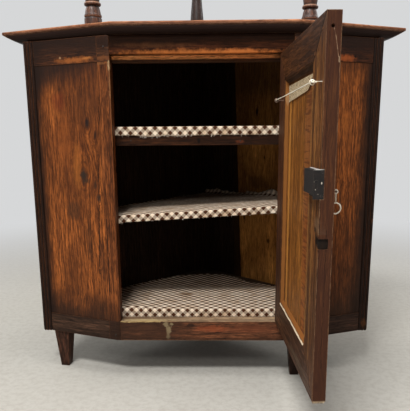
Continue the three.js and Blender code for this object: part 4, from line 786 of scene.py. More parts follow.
doorBase = {"pale": (150, 94, 50), "deep": (66, 38, 23), "pore": (28, 17, 12), "grimeAndShadeOn": "none", "contrast": 0.4}
endShade = fadeTo(doorFront, 0.5560, 0.5568, (64, 37, 27), rag=0.0)
mitreLow = lineFrom(onDoor(-453, doorFace, 171), onDoor(-353, doorFace, 257), 0.0024, 0.9, 0.2)
mitreHigh = lineFrom(onDoor(-453, doorFace, 863), onDoor(-353, doorFace, 783), 0.0034, 0.95, 0.2)
hingeMitreHigh = lineFrom(onDoor(1, doorFace, 863), onDoor(-80.8, doorFace, 783), 0.0022, 0.8, 0.2)
doorLooks = {
    "door_stile_hinge": {
        "pale": (104, 64, 40), "deep": (48, 29, 21), "shift": 1.9,
        "fades": [  # the inner border of the stile is paler, down to the panel
            fadeTo(doorFront, 0.1722, 0.1760, (142, 90, 42), rag=0.0006),
        ],
        "spots": [
            spotAt(onDoor(-84, 27, 752), (0.010, 0.014, 0.022), (206, 188, 152), rag=0.35, ragScale=60.0, soft=0.3)
        ],
        "lines": [
            # a painted shadow line at the border of the sunk panel
            lineFrom(onDoor(-71, doorFace, 250), onDoor(-71, doorFace, 790), 0.0034, 0.8, colour=(46, 27, 19)),
            hingeMitreHigh,
        ],
    },
    "door_stile_free": {
        "pale": (170, 110, 58), "deep": (66, 40, 25), "rings": 0.55, "ringCount": 110.0, "shift": 4.2, "streaks": 0.7,
        "wearAndHighlight": 0.75, "wearAndHighlightColour": (190, 150, 112), "wearAndHighlightWidth": 0.0022, "wearAndHighlightBreakup": 0.95,
        "unworn": [((0.2250, -0.5445, 0.4760), (0.022, 0.03, 0.020)), ((0.2290, -0.5477, 0.838), (0.009, 0.03, 0.009))],
        "knots": [knotAt((0.2224, -0.5479, 0.2024), 0.009)],
        "fades": [
            fadeTo(downward, -0.52, -0.24, (70, 43, 28), 0.55, 0.05, 10.0),
            fadeTo(upward, 0.72, 0.84, (62, 38, 25), 0.6, 0.04, 12.0),
            endShade,
            fadeTo(downward, -0.1745, -0.1718, (176, 156, 128), 0.7, 0.0016, 90.0),
        ],
        "spots": [
            # painted shade inside the old mortise recess
            spotAt((0.2155, -0.537, 0.4800), (0.013, 0.02, 0.013), (14, 11, 10), 0.95, 0.6, 80.0),
            spotAt((0.2250, -0.5445, 0.4760), (0.014, 0.0035, 0.014), (26, 21, 18), 0.97, ragScale=80.0, soft=0.2),
            spotAt((0.2210, -0.5478, 0.4770), (0.022, 0.005, 0.022), (34, 26, 21), rag=1.0, ragScale=70.0, soft=0.9),
            spotAt((0.2190, -0.5478, 0.4955), (0.014, 0.006, 0.006), (136, 108, 84), 0.6, 1.0, 110.0),
            spotAt((0.2145, -0.535, 0.508), (0.02, 0.028, 0.018), (128, 100, 74), 0.5, 1.0, 90.0),
            spotAt((0.2165, -0.52, 0.498), (0.02, 0.016, 0.006), (40, 27, 20), 0.7, 0.9, 80.0),
            spotAt((0.2224, -0.5479, 0.2024), (0.006, 0.02, 0.006), (18, 12, 10), rag=0.5, ragScale=120.0),
            spotAt((0.2290, -0.5477, 0.838), (0.005, 0.02, 0.006), (26, 18, 15), 0.7, 0.6, 90.0),
        ],
        "lines": [
            lineFrom((0.2294, -0.5477, 0.834), (0.2376, -0.5474, 0.79), 0.0011, 0.6, 0.9, (168, 136, 108)),
            lineFrom((0.2382, -0.5474, 0.79), (0.2392, -0.5474, 0.782), 0.0012, 0.6, 1.0, (196, 166, 134)),
            lineFrom(onDoor(-366, doorFace, 770), onDoor(-368, doorFace, 270), 0.0050, 0.5, 0.6, (188, 138, 74)),
            lineFrom(onDoor(-384, doorFace, 800), onDoor(-388, doorFace, 250), 0.0036, 0.7, 0.6),
            lineFrom(onDoor(-402, doorFace, 800), onDoor(-404, doorFace, 240), 0.0060, 0.4, 0.7, (170, 120, 64)),
            lineFrom(onDoor(-432, doorFace, 830), onDoor(-436, doorFace, 220), 0.0040, 0.55, 0.7),
            # a painted highlight along the outer arris of the free edge
            lineFrom((0.2412, -0.5474, 0.855), (0.2412, -0.5474, 0.18), 0.0010, 0.45, 1.0, (150, 112, 78)),
            lineFrom((0.2160, -0.5478, 0.68), (0.2170, -0.5478, 0.30), 0.0014, 0.6, 0.9),
            lineFrom((0.2215, -0.5478, 0.83), (0.2225, -0.5478, 0.60), 0.0012, 0.5, 0.9),
            lineFrom((0.2300, -0.5476, 0.50), (0.2290, -0.5476, 0.24), 0.0014, 0.5, 0.9),
            mitreLow, mitreHigh,
        ],
    },
    "door_rail_top": {
        "grain": "back", "pale": (108, 67, 39), "deep": (38, 23, 15), "shift": 2.3, "clouds": 0.7,
        "lines": [mitreHigh, hingeMitreHigh],
        # painted shade along the rail's lower edge
        "fades": [fadeTo(downward, -0.7925, -0.7905, (34, 21, 15), 0.6, 0.001)],
    },
    "door_rail_bottom": {
        "grain": "back", "pale": (112, 72, 46), "deep": (46, 29, 20), "shift": 7.9, "clouds": 0.6,
        "fades": [fadeTo(upward, 0.2478, 0.2490, (148, 92, 44), rag=0.0008, ragScale=60.0)],
        "spots": [spotAt(onDoor(-300, 30, 190), (0.05, 0.12, 0.012), (96, 78, 60), 0.5, 0.9)],
        "lines": [
            lineFrom(onDoor(-68, doorFace, 245.5), onDoor(-353, doorFace, 247), 0.0030, 0.95, 0.25, (226, 206, 176)),
            lineFrom(onDoor(-200, doorFace, 244.5), onDoor(-353, doorFace, 243.5), 0.0016, 0.8, 0.5, (52, 32, 22)),
            mitreLow,
        ],
    },
    "door_panel": {
        "pale": (192, 124, 54), "deep": (92, 52, 24), "rings": 0.35, "ringCount": 75.0, "clouds": 0.6,
        "shift": 5.2, "streaks": 0.6,
        "fades": [
            fadeTo(doorFront, 0.40, 0.435, (104, 58, 32), 0.45, 0.01, 8.0),
            fadeTo(onDoorWay(0, -1), 0.2030, 0.2060, (84, 45, 24), 0.75, 0.0),
            # painted shade on the panel's top, under the top rail
            fadeTo(upward, 0.775, 0.784, (36, 22, 15), rag=0.002),
        ],
        "ladders": [
            {
                "at": onDoor(-306, panelFace, 620), "reach": (0.05, 0.044, 0.26), "ground": (140, 86, 48),
                "ray": (84, 48, 29), "share": 0.7, "lift": 0.75, "stretch": (0.14, 0.14, 1.7),
            },
            {
                "at": onDoor(-310, panelFace, 370), "reach": (0.05, 0.036, 0.20), "ground": (150, 86, 42),
                "ray": (92, 50, 29), "share": 0.7, "lift": 0.65, "stretch": (0.16, 0.16, 1.5),
            },
        ],
        "lines": [
            lineFrom(onDoor(-108, panelFace, 770), onDoor(-110, panelFace, 262), 0.014, 0.65, colour=(224, 152, 72)),
            lineFrom(onDoor(-150, panelFace, 770), onDoor(-154, panelFace, 262), 0.008, 0.35, 0.5, (196, 128, 60)),
            lineFrom(onDoor(-128, panelFace, 770), onDoor(-131, panelFace, 262), 0.0026, 0.5, 0.6),
            lineFrom(onDoor(-205, panelFace, 770), onDoor(-212, panelFace, 262), 0.0040, 0.45, 0.6),
            lineFrom(onDoor(-262, panelFace, 770), onDoor(-268, panelFace, 262), 0.0036, 0.7, 0.5),
            lineFrom(onDoor(-345, panelFace, 770), onDoor(-345, panelFace, 262), 0.0040, 0.5, 0.4),
        ],
    },
}
finishNodes(doorLooks, doorBase)
print("woods finished")


# metal

metalDefaults = {"spots": [], "mottleScale": 90.0, "wearAndHighlight": 0.5, "wearAndHighlightWidth": 0.0012, "wearAndHighlightBreakup": 0.7}


def metalFinish(name, looks):
    looks = {**metalDefaults, **looks}
    material, tree, place = startFinish(name)
    mottle = noiseOn(tree, place, looks["mottleScale"], 5.0, 0.7)
    colour = mixed(tree, spread(tree, mottle, 0.4, 0.62), paint(*looks["base"]), paint(*looks["mottle"]))
    colour = spotted(tree, place, colour, looks["spots"])
    rubbed = wearAndHighlightOn(tree, place, looks["wearAndHighlightWidth"], looks["wearAndHighlightBreakup"])
    colour = tinted(tree, colour, rubbed, looks["wearAndHighlight"], looks["worn"])
    gloss = sums(tree, "MULTIPLY_ADD", mottle, 0.3, looks["rough"])
    shader = endFinish(tree, colour, gloss, mottle, 0.4, 0.0004)
    shader.inputs["Metallic"].default_value = looks["metallic"]
    return material


ironLooks = {"base": (15, 12, 10), "mottle": (34, 26, 22), "worn": (120, 108, 98), "rough": 0.4, "metallic": 0.35}
scratchesAndGlint = [
    spotAt(at, reach, colour, 0.9, rag, 200.0, 0.4) for at, reach, colour, rag in (
        ((0.2180, -0.5484, 0.5830), (0.0013, 0.004, 0.0026), (206, 196, 180), 0.4),
        ((0.2075, -0.5470, 0.5720), (0.0012, 0.004, 0.0014), (176, 168, 154), 0.4),
        ((0.2050, -0.5470, 0.5855), (0.0010, 0.004, 0.0010), (150, 142, 130), 0.4),
        ((0.2120, -0.5484, 0.5640), (0.0018, 0.004, 0.0010), (110, 102, 92), 0.4),
        # a painted highlight along the lock case's top edge
        ((0.2110, -0.50, 0.6063), (0.02, 0.08, 0.0009), (252, 244, 236), 0.2),
    )
]
blackIron = metalFinish("blackIron", ironLooks)
lockIron = metalFinish("lockIron", {**ironLooks, "rough": 0.6, "spots": scratchesAndGlint, "wearAndHighlight": 0.35})
brownIron = metalFinish(
    "brownIron", {**ironLooks, "base": (70, 46, 34), "mottle": (104, 76, 58), "worn": (150, 126, 104)},
)
paleMetal = metalFinish(
    "paleMetal",
    {"base": (238, 228, 208), "mottle": (206, 192, 168), "worn": (250, 244, 232), "rough": 0.4, "metallic": 0.05},
)
ironArris = 0.0003
metalNodes = {
    "lock_plate": lockIron, "lock_case": lockIron, "lock_bolt": lockIron, "keyhole_plate": blackIron,
    "pull_ring": paleMetal, "pull_staple": brownIron, "wire_hook": brownIron, "wire_eye": paleMetal,
    "curtain_wire": paleMetal, **{name: blackIron for name in nodes if name.startswith("hinge_")},
}
for name, metal in metalNodes.items():
    nodes[name].data.materials.clear()
    nodes[name].data.materials.append(metal)
    if metal in (lockIron, blackIron):
        softenEdges(nodes[name], ironArris)
print("metals finished")


# cloth covers

clothLooks = {
    "cream": (240, 222, 198), "brown": (76, 45, 28), "dirt": (190, 160, 122), "check": 0.0093,
    # on the bottom cloth's cut
    "stain": {"at": (-0.055, 0.146, 0), "reach": (0.03, 0.02, 1), "colour": (150, 115, 70)},
}


def clothFinish(name, stained):
    material, tree, flat = startFinish(name, onCut=True)
    weave = fillGroup(tree, gingham, {
        "Position": flat, "Check": clothLooks["check"], "Dirt Share": 0.6,
        **{key.capitalize(): paint(*clothLooks[key]) for key in ("cream", "brown", "dirt")},
    })
    colour = weave.outputs["Colour"]
    if stained:
        stain = clothLooks["stain"]
        mask = patchOn(tree, flat, stain["at"], stain["reach"], 0.8, 0.5, 50.0)
        colour = tinted(tree, colour, mask, 0.8, stain["colour"], "MULTIPLY")
    endFinish(tree, colour, 0.9, weave.outputs["Height"], 0.25, 0.0002, 0.1)
    return material


checkedCotton = clothFinish("checkedCotton", False)
stainedCotton = clothFinish("stainedCotton", True)


def wander(x, y, z):  # smooth noise round zero
    return noise.noise(Vector((x, y, z)))


def addMesh(name, verts, faces, material, smooth=True):  # a new piece from points and faces
    mesh = bpy.data.meshes.new(name)
    mesh.from_pydata(verts, [], faces)
    mesh.validate()
    if smooth:
        mesh.polygons.foreach_set("use_smooth", [True] * len(mesh.polygons))
    mesh.materials.append(material)
    return addObject(name, mesh)


def gridFaces(rows, columns, flip=False):  # quads between rows of points
    faces = []
    for r in range(rows - 1):
        for k in range(columns - 1):
            a, b = r * columns + k, (r + 1) * columns + k
            faces.append((a, b, b + 1, a + 1) if flip else (a, a + 1, b + 1, b))
    return faces


def ringFaces(rings, sides, start=0, flip=False):  # quads round a row of rings, closed at both ends
    faces = []
    for i in range(rings - 1):
        for k in range(sides):
            a, b = start + i * sides + k, start + i * sides + (k + 1) % sides
            faces.append((a, a + sides, b + sides, b) if flip else (a, b, b + sides, a + sides))
    first = range(start, start + sides)
    last = range(start + (rings - 1) * sides, start + rings * sides)
    faces.append(tuple(first) if flip else tuple(reversed(first)))
    faces.append(tuple(reversed(last)) if flip else tuple(last))
    return faces


def addTube(points, radius, sides, verts, faces):  # a closed tube along points, added to the lists
    start = len(verts)
    points = [Vector(point) for point in points]
    side = None
    for i, point in enumerate(points):
        ahead = (points[min(i + 1, len(points) - 1)] - points[max(i - 1, 0)]).normalized()
        if side is None:
            side = ahead.orthogonal().normalized()
        side = (side - ahead * side.dot(ahead)).normalized()
        other = ahead.cross(side)
        for k in range(sides):
            angle = fullTurn * k / sides
            verts.append(tuple(point + (side * math.cos(angle) + other * math.sin(angle)) * radius))
    faces.extend(ringFaces(len(points), sides, start))


def layCut(obj, cuts, thickness):  # the flat places of a sheet's points, and its thickness under them
    layer = obj.data.uv_layers.new(name="cut")
    for loop in obj.data.loops:
        layer.data[loop.index].uv = cuts[loop.vertex_index]
    thick = obj.modifiers.new("cloth", "SOLIDIFY")
    thick.thickness = thickness
    thick.offset = -1


# places are in metres: each cloth's border on its board as rows of (depth, left, right), its top and its drop in front
upperRows = [(-0.0463, -0.2709, 0.2709), (0.0088, -0.4147, 0.4147), (0.4230, -0.0006, 0.0006)]
clothSettings = {
    "cloth_bottom": {
        "board": "bottom_board", "cotton": stainedCotton,
        "front": -0.0518, "frontHalf": 0.2610, "top": 0.1910, "drop": 0.0205, "slope": 0.0, "seed": 3.0,
        "sag": 0.0014, "wave": 0.0012, "lift": (0.003, 0.002), "low": [(-0.19, 0.05, 0.001)], "cloth": (0.8294, 0.402),
        "rows": [
            (-0.0518, -0.2565, 0.2565), (0.0088, -0.4147, 0.4147), (0.123, -0.3005, 0.2985), (0.183, -0.2405, 0.2180),
            (0.233, -0.1905, 0.1400), (0.286, -0.1280, 0.1000), (0.3095, -0.0840, 0.0770),
            (0.3265, -0.0350, 0.0600), (0.3312, 0.005, 0.045),
        ],
        "bumps": [(-0.20, -0.035, 0.05, 0.016, 0.004), (0.235, -0.037, 0.035, 0.014, 0.004)],
    },
    "cloth_middle": {
        "board": "shelf_middle", "cotton": checkedCotton,
        "front": -0.0463, "frontHalf": 0.2753, "top": 0.4692, "drop": 0.0161, "slope": 0.05766, "seed": 11.0,
        "sag": 0.0018, "wave": 0.0016, "lift": (0.004, 0.015), "low": [(-0.235, 0.02, 0.004)], "cloth": (0.8294, 0.487),
        "rows": upperRows, "bumps": [],
    },
    "cloth_upper": {
        "board": "shelf_upper", "cotton": checkedCotton,
        "front": -0.0463, "frontHalf": 0.2753, "top": 0.6917, "drop": 0.0194, "slope": 0.0, "seed": 23.0,
        "sag": 0.0014, "wave": 0.0016, "lift": (0.005, 0.005), "low": [(-0.135, 0.035, 0.0055), (-0.065, 0.03, 0.0035)],
        "cloth": (0.8294, 0.491), "rows": upperRows, "bumps": [],
    },
}
foldRadius = 0.0035
clothThickness = 0.0011
clothGap = 0.0006  # keeps a cloth off its board's front
clothGrid = {"columns": 150, "hanging": 7, "turning": 5, "flat": 84}
wallZone = 0.02  # how far from a cut edge the cloth rises toward the wall
cutFrom, cutWander = 0.03, 0.0022  # how far back the cut edges begin to wander, and how much


def bordersAt(looks, depth):  # where the cut begins and ends at a place behind its front
    rows = looks["rows"]
    if depth <= rows[0][0]:
        return rows[0][1:]
    for (near, nearLeft, nearRight), (far, farLeft, farRight) in zip(rows, rows[1:]):
        if depth <= far:
            share = (depth - near) / (far - near)
            return nearLeft + (farLeft - nearLeft) * share, nearRight + (farRight - nearRight) * share
    return rows[-1][1:]


def clothHeight(looks, x, y):  # the cloth's own unevenness over its board
    seed = looks["seed"]
    calm = min(1.0, max(0.0, (y - looks["front"] - 0.008) / 0.03))
    rise = 0.5 + 0.5 * wander(x * 9, y * 9, seed) + 0.3 * wander(x * 31, y * 31, seed)
    up = looks["sag"] * max(0.0, rise) * calm
    for atX, atY, reachX, reachY, height in looks["bumps"]:
        up += height * math.exp(-((x - atX) / reachX) ** 2 - ((y - atY) / reachY) ** 2)
    if y > 0.02:  # the cut edges stand up a little against the walls
        left, right = bordersAt(looks, y)
        for edge, lift in ((x - left, looks["lift"][0]), (right - x, looks["lift"][1])):
            edge *= 0.7
            if edge < wallZone:
                grown = 0.55 + 0.9 * wander(x * 17, y * 17, seed + 4) + 0.5 * wander(x * 90, y * 90, seed)
                up += max(0.0, lift * grown) * (1 - edge / wallZone) ** 2
    return up


def layCloth(name, looks):  # a cut sheet laid on its board, folded down over the front edge
    seed = looks["seed"]
    fold = foldRadius * math.pi / 2
    flatDepth = looks["rows"][-1][0] - looks["front"] - foldRadius
    columns, hanging, turning, flatRows = (clothGrid[key] for key in ("columns", "hanging", "turning", "flat"))

    def dropAt(x):
        drop = looks["drop"] + 0.0012 * wander(x * 28, seed, 0) + 0.0008 * wander(x * 120, seed, 5)
        for middle, reach, extra in looks["low"]:
            near = max(0.0, 1 - abs(x - middle) / reach)
            drop += extra * near ** 0.6 * (0.75 + 0.5 * wander(x * 210, seed, 9))
        return drop

    rows = [("hang", 1 - i / hanging) for i in range(hanging)]
    rows += [("fold", i / turning) for i in range(turning)]
    rows += [("flat", fold + flatDepth * i / flatRows) for i in range(flatRows + 1)]
    verts, cuts = [], []
    for kind, share in rows:
        for k in range(columns + 1):
            across = 2 * k / columns - 1
            if kind == "hang":
                x = across * looks["frontHalf"]
                run = dropAt(x) * share
                ripple = looks["wave"] * share * (wander(x * 24, seed, 2) + 0.4 * wander(x * 75, seed, 3))
                y = looks["front"] - clothGap - abs(ripple) * 1.2 + 0.0004 * share
                place = (x, y, looks["top"] - foldRadius - run)
                cut = (x, -run)
            elif kind == "fold":
                angle = share * math.pi / 2
                y = looks["front"] + foldRadius * (1 - math.cos(angle))
                left, right = bordersAt(looks, y)
                wide = left + (right - left) * k / columns
                x = across * looks["frontHalf"] * (1 - share) + wide * share
                up = clothHeight(looks, x, y) * share
                level = looks["top"] - foldRadius * (1 - math.sin(angle)) + up
                place = (x, y - clothGap * (1 - share), level)
                cut = (x, share * fold)
            else:
                y = looks["front"] + foldRadius + share - fold
                left, right = bordersAt(looks, y)
                x = left + (right - left) * k / columns
                if y > cutFrom:  # a cut edge is never straight
                    x += cutWander * max(0, abs(across) - 0.9) / 0.1 * wander(y * 60, across * 5, seed)
                    x = max(bordersAt(looks, y)[0], min(bordersAt(looks, y)[1], x))
                place = (x, y, looks["top"] + clothHeight(looks, x, y))
                cut = (x, share)
            x, y, z = place
            verts.append((x, y, z + looks["slope"] * x))
            cuts.append(cut)
    obj = addMesh(name + "_checked", verts, gridFaces(len(rows), columns + 1), looks["cotton"])
    layCut(obj, cuts, clothThickness)
    area = 2 * looks["frontHalf"] * (looks["drop"] + fold)
    for (near, nearLeft, nearRight), (far, farLeft, farRight) in zip(looks["rows"], looks["rows"][1:]):
        area += (far - near) * 0.5 * (nearRight - nearLeft + farRight - farLeft)
    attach(obj, "cabinet")
    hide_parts(name)
    threads = frayThreads(name, looks, dropAt)


threadRadius, borderThreadRadius = 0.00028, 0.00030
threadAhead, threadInset = 0.0008, 0.0015  # in front of the drop, and in from the cut edges
threadSettings = {  # spans in front are low x, high x and count; borders behind are side, near, far and count
    "cloth_bottom": {
        "spans": [(-0.25, 0.25, 30)], "long": 0.003, "borders": [(-1, 0.08, 0.28, 24), (1, 0.10, 0.32, 24)],
    },
    "cloth_middle": {
        "spans": [(-0.272, 0.272, 46), (-0.272, -0.235, 12)], "long": 0.004,
        "borders": [(-1, 0.05, 0.40, 40), (1, 0.20, 0.40, 60)],
    },
    "cloth_upper": {
        "spans": [(-0.27, 0.27, 50), (-0.17, -0.04, 34)], "long": 0.006,
        "borders": [(-1, 0.05, 0.40, 30), (1, 0.05, 0.40, 30)],
    },
}


def threadFinish():
    material, tree, place = startFinish("looseThread")
    twist = noiseOn(tree, place, 700.0, 2.0)
    colour = mixed(tree, spread(tree, twist, 0.4, 0.6), paint(232, 220, 204), paint(178, 160, 144))
    endFinish(tree, colour, 0.9, twist, 0.3, 0.0001, 0.1)
    return material


looseThread = threadFinish()


def frayThreads(name, looks, dropAt):  # loose ends that hang from the cut edge in front
    settings = threadSettings[name]
    verts, faces = [], []
    chance = random.Random(int(looks["seed"]))
    for low, high, count in settings["spans"]:
        for _ in range(count):
            x = chance.uniform(low, high)
            length = settings["long"] * chance.uniform(0.35, 1.0)
            lean = chance.uniform(-0.7, 0.7)
            out = chance.uniform(0.0002, 0.0016)
            y = looks["front"] - threadAhead
            z = looks["top"] - foldRadius - dropAt(x) + looks["slope"] * x + clothGap
            curl = chance.uniform(-0.0012, 0.0012)
            points = []
            for i in range(5):
                t = i / 4
                down = length * t * (1 - 0.25 * abs(lean) * t)
                points.append((x + lean * length * t + curl * math.sin(3 * t), y - out * math.sin(2.2 * t), z - down))
            addTube(points, threadRadius, 4, verts, faces)
    for side, near, far, count in settings["borders"]:  # short ends that stand along the cut against the walls
        for _ in range(count):
            y = chance.uniform(near, far)
            left, right = bordersAt(looks, y)
            x = left + threadInset if side < 0 else right - threadInset
            z = looks["top"] + clothHeight(looks, x, y) + looks["slope"] * x - clothGap
            length = settings["long"] * chance.uniform(0.5, 1.1)
            lean, aside = chance.uniform(-0.6, 0.6), chance.uniform(-0.001, 0.001)
            points = []
            for t in (0, 0.3, 0.6, 1.0):
                run = lean * length * t * 0.7
                points.append((x - side * 0.0012 * t + run, y + run + aside * t * t, z + length * t))
            addTube(points, borderThreadRadius, 4, verts, faces)
    obj = addMesh(name + "_threads", verts, faces, looseThread)
    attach(obj, "cabinet")
    return obj


for name, looks in clothSettings.items():
    layCloth(name, looks)
print("cloths laid")


# columns: the profile runs from the foot to the cap; radius and height in millimetres
columnSettings = {
    "column_left": {
        "at": (-0.2795, -0.0232533), "turn": 0.3,
        "looks": {"pale": (124, 80, 58), "deep": (54, 33, 25), "shift": 1.5},
    },
    "column_right": {
        "at": (0.2855, 0.0357467), "turn": 1.1,
        "looks": {"pale": (104, 68, 52), "deep": (46, 29, 23), "shift": 3.5},
    },
    "column_rear": {
        "at": (-0.026, 0.3807467), "turn": 2.0,
        "looks": {"pale": (66, 43, 34), "deep": (30, 20, 16), "shift": 6.5},
    },
}
columnFoot = 0.9403
columnProfile = [
    (0, 0), (21.8, 0), (22.2, 0.4), (22.4, 1.4), (22.4, 21.0), (22.1, 22.4), (21.2, 23.3), (20.6, 24.0), (20.5, 24.8),
    (20.9, 25.4), (21.7, 25.9), (22.1, 26.8), (22.2, 28.5), (22.1, 30.2), (21.7, 31.2), (20.9, 32.4), (20.2, 34.5),
    (19.6, 37.5), (18.9, 41.5), (18.1, 45), (17.1, 48.2), (16.0, 50.8), (15.7, 51.6), (15.8, 52.2), (17.6, 52.7),
    (19.8, 53.4), (20.9, 54.7), (21.3, 56.4), (21.3, 57.6), (20.9, 59.4), (19.9, 60.7), (18.4, 61.5), (17.6, 62.0),
    (17.6, 65.6), (17.9, 66.4), (18.4, 70), (19.3, 76), (20.2, 83), (20.9, 90), (21.2, 96.5), (21.2, 99), (20.9, 105),
    (20.2, 114), (19.3, 124), (18.3, 134), (17.3, 145), (16.4, 156), (15.8, 164), (15.6, 168.6), (15.9, 169.4),
    (17.9, 170.1), (18.7, 171.0), (19.0, 172.4), (19.0, 173.6), (18.7, 175), (17.9, 175.9), (15.9, 176.6),
    (15.8, 177.4), (17.0, 179.2), (19.0, 181.6), (21.0, 184.2), (22.2, 186.6), (22.4, 188.5), (22.4, 198.6),
    (22.2, 199.6), (21.8, 200), (0, 200),
]
columnHighlightAndShadeBands = [  # painted highlights on the rings' tops and painted shade in the hollows under them: low, high, colour and share
    (20.5, 24.5, (30, 18, 14), 0.7),
    (25.6, 28.5, (150, 104, 78), 0.45),
    (48.5, 54.0, (24, 15, 12), 0.85),
    (57.5, 61.5, (176, 130, 100), 0.5),
    (61.6, 65.0, (34, 21, 16), 0.6),
    (165.0, 170.4, (26, 16, 12), 0.7),
    (176.0, 179.0, (26, 16, 12), 0.7),
]
columnSides = 48
columnEase, columnWobble = 0.998, 0.004  # ease keeps the turned shape inside its solid
farReach = 9  # a spot with this reach in metres has no end on that axis
creaseAngle = math.radians(52)


def turnColumn(name, looks):
    sides = columnSides
    verts = []
    x0, y0 = looks["at"]
    for radius, height in columnProfile[1:-1]:
        for k in range(sides):
            angle = fullTurn * k / sides + looks["turn"]
            uneven = 1 + columnWobble * wander(math.cos(angle) * 2, math.sin(angle) * 2, height / 24 + looks["turn"])
            verts.append((
                x0 + radius * mm * uneven * math.cos(angle) * columnEase,
                y0 + radius * mm * uneven * math.sin(angle) * columnEase,
                columnFoot + height * mm,
            ))
    base = {
        "rough": 0.34, "specular": 0.3, "wearAndHighlight": 0.5, "wearAndHighlightColour": (186, 140, 108), "wearAndHighlightWidth": 0.0016,
        "rings": 0.3, "streaks": 0.7,
        # painted highlights and painted shade on the rings
        "spots": [
            spotAt(
                (x0, y0, columnFoot + 0.5 * (low + high) * mm), (farReach, farReach, 0.5 * (high - low) * mm + 0.0006),
                colour, share, 0.25, 60.0,
            ) for low, high, colour, share in columnHighlightAndShadeBands
        ],
    }
    material = woodFinish(name + "Finish", {**base, **looks["looks"]})
    obj = addMesh(name + "_turned", verts, ringFaces(len(columnProfile) - 2, sides), material)
    crease = obj.modifiers.new("round", "EDGE_SPLIT")
    crease.split_angle = creaseAngle
    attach(obj, "cabinet")
    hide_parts(name)


for name, looks in columnSettings.items():
    turnColumn(name, looks)
print("columns turned")


# the back walls' shrunken joint in the corner is stopped by a thin dark tongue
tongueLooks = {"half": 0.00028, "low": 0.113, "high": 0.911, "near": 0.437, "far": 0.4612, "steps": 60}


def fitTongue():
    looks = tongueLooks
    verts = []
    for i in range(looks["steps"] + 1):
        z = looks["low"] + (looks["high"] - looks["low"]) * i / looks["steps"]
        near = looks["near"] + 0.0012 * wander(z * 40, 2, 0)
        half, far = looks["half"], looks["far"]
        verts += [(-half, near, z), (half, near, z), (half, far, z), (-half, far, z)]
    material = woodFinish("tongueFinish", {**insideBase, "pale": (40, 28, 20), "deep": (18, 12, 9)})
    obj = addMesh("corner_tongue", verts, ringFaces(looks["steps"] + 1, 4), material, smooth=False)
    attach(obj, "cabinet")


fitTongue()


# screws, pegs and nails; each row is a place, the way it faces and its turn, each list on one piece on its carrier
def frameOn(way):  # two directions across the one that a head faces
    way = Vector(way).normalized()
    side = way.cross(Vector((0, 0, 1)))
    side = side.normalized() if side.length > 0.1 else Vector((1, 0, 0))
    return way, side, way.cross(side)


headKinds = {  # radius, height and whether it is slotted
    "hinge screw": (0.0036, 0.00022, True), "lock screw": (0.0026, 0.0003, True), "pin": (0.0017, 0.0004, False),
    "peg": (0.0034, 0.0005, False), "nail": (0.0019, 0.0004, False),
}
headSides = 20
headProfile = ((1.0, -0.6), (1.0, 0.35), (0.86, 0.8), (0.5, 1.0))  # shares of the radius and of the height
slotDepth, slotHalf = 0.75, 0.22  # shares of the height and of the radius


def screwHeads(name, carrier, kind, rows, material):
    radius, height, slotted = headKinds[kind]
    heads = bmesh.new()
    for at, way, turn in rows:
        way, side, up = frameOn(way)
        rim, sides = [], headSides
        for ring, (share, rise) in enumerate(headProfile):
            loop = []
            for k in range(sides):
                angle = fullTurn * k / sides
                across, along = math.cos(angle) * radius * share, math.sin(angle) * radius * share
                sunk = slotDepth * height if slotted and ring >= 2 and abs(across) < radius * slotHalf else 0.0
                spunSide = side * (across * math.cos(turn) - along * math.sin(turn))
                spunUp = up * (across * math.sin(turn) + along * math.cos(turn))
                loop.append(heads.verts.new(Vector(at) + (spunSide + spunUp) + way * (height * rise - sunk)))
            rim.append(loop)
        for low, high in zip(rim, rim[1:]):
            for k in range(sides):
                heads.faces.new((low[k], low[(k + 1) % sides], high[(k + 1) % sides], high[k]))
        heads.faces.new(rim[-1])
        heads.faces.new(list(reversed(rim[0])))
    mesh = bpy.data.meshes.new(name)
    bmesh.ops.recalc_face_normals(heads, faces=heads.faces)
    heads.to_mesh(mesh)
    heads.free()
    mesh.materials.append(material)
    obj = addObject(name, mesh)
    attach(obj, carrier)


pegWood = woodFinish("pegFinish", {**doorBase, "pale": (120, 78, 46), "deep": (54, 33, 22), "shift": 6.0, "wearAndHighlight": 0.2})
frameScrews, doorScrews = [], []
hingeFeet = (0.230, 0.742)
for low in hingeFeet:
    for rise, shift in ((0.010, 0.0), (0.031, 0.004), (0.052, 0.0)):
        frameScrews.append(((0.2303, -0.0745 - shift, low + rise), (-1, 0, 0), 0.4 + rise * 60))
        doorScrews.append((onDoor(0.9, 17.0 + shift * 1000, (low + rise) * 1000), onDoorWay(1, 0), 1.1 + rise * 40))
screwHeads("hinge_frame_screws", "cabinet", "hinge screw", frameScrews, blackIron)
screwHeads("hinge_door_screws", "door", "hinge screw", doorScrews, blackIron)
lockScrews = [
    (onDoor(-453.0, 28.2, 601.5), onDoorWay(-1, 0), 0.5), (onDoor(-453.0, 28.2, 560.5), onDoorWay(-1, 0), 1.4),
    (onDoor(-390.0, 32.9, 558.6), onDoorWay(0, 1), 0.9), (onDoor(-437.0, 32.9, 558.6), onDoorWay(0, 1), 2.1),
]
screwHeads("lock_screws", "door", "lock screw", lockScrews, lockIron)
keyPins = [(onDoor(-414.0, 3.3, 600.5), onDoorWay(0, -1), 0.0), (onDoor(-414.0, 3.3, 573.5), onDoorWay(0, -1), 0.0)]
screwHeads("keyhole_pins", "door", "pin", keyPins, blackIron)
pegPlaces = ((-376, 236), (-428, 204), (-376, 806), (-428, 838), (-24, 206), (-58, 238), (-24, 838), (-58, 806))
pegs = [(onDoor(x, doorFace, z), onDoorWay(0, 1), 0.2 * i) for i, (x, z) in enumerate(pegPlaces)]
screwHeads("door_pegs", "door", "peg", pegs, pegWood)
nailPlaces = [(x, frontFace, z) for x in (-0.2440, 0.2440) for z in (0.885, 0.128)]
nailPlaces += [(0.10, -0.0447, 0.6535), (-0.19, -0.0447, 0.6560)]
nails = [(place, (0, -1, 0), 0.0) for place in nailPlaces]
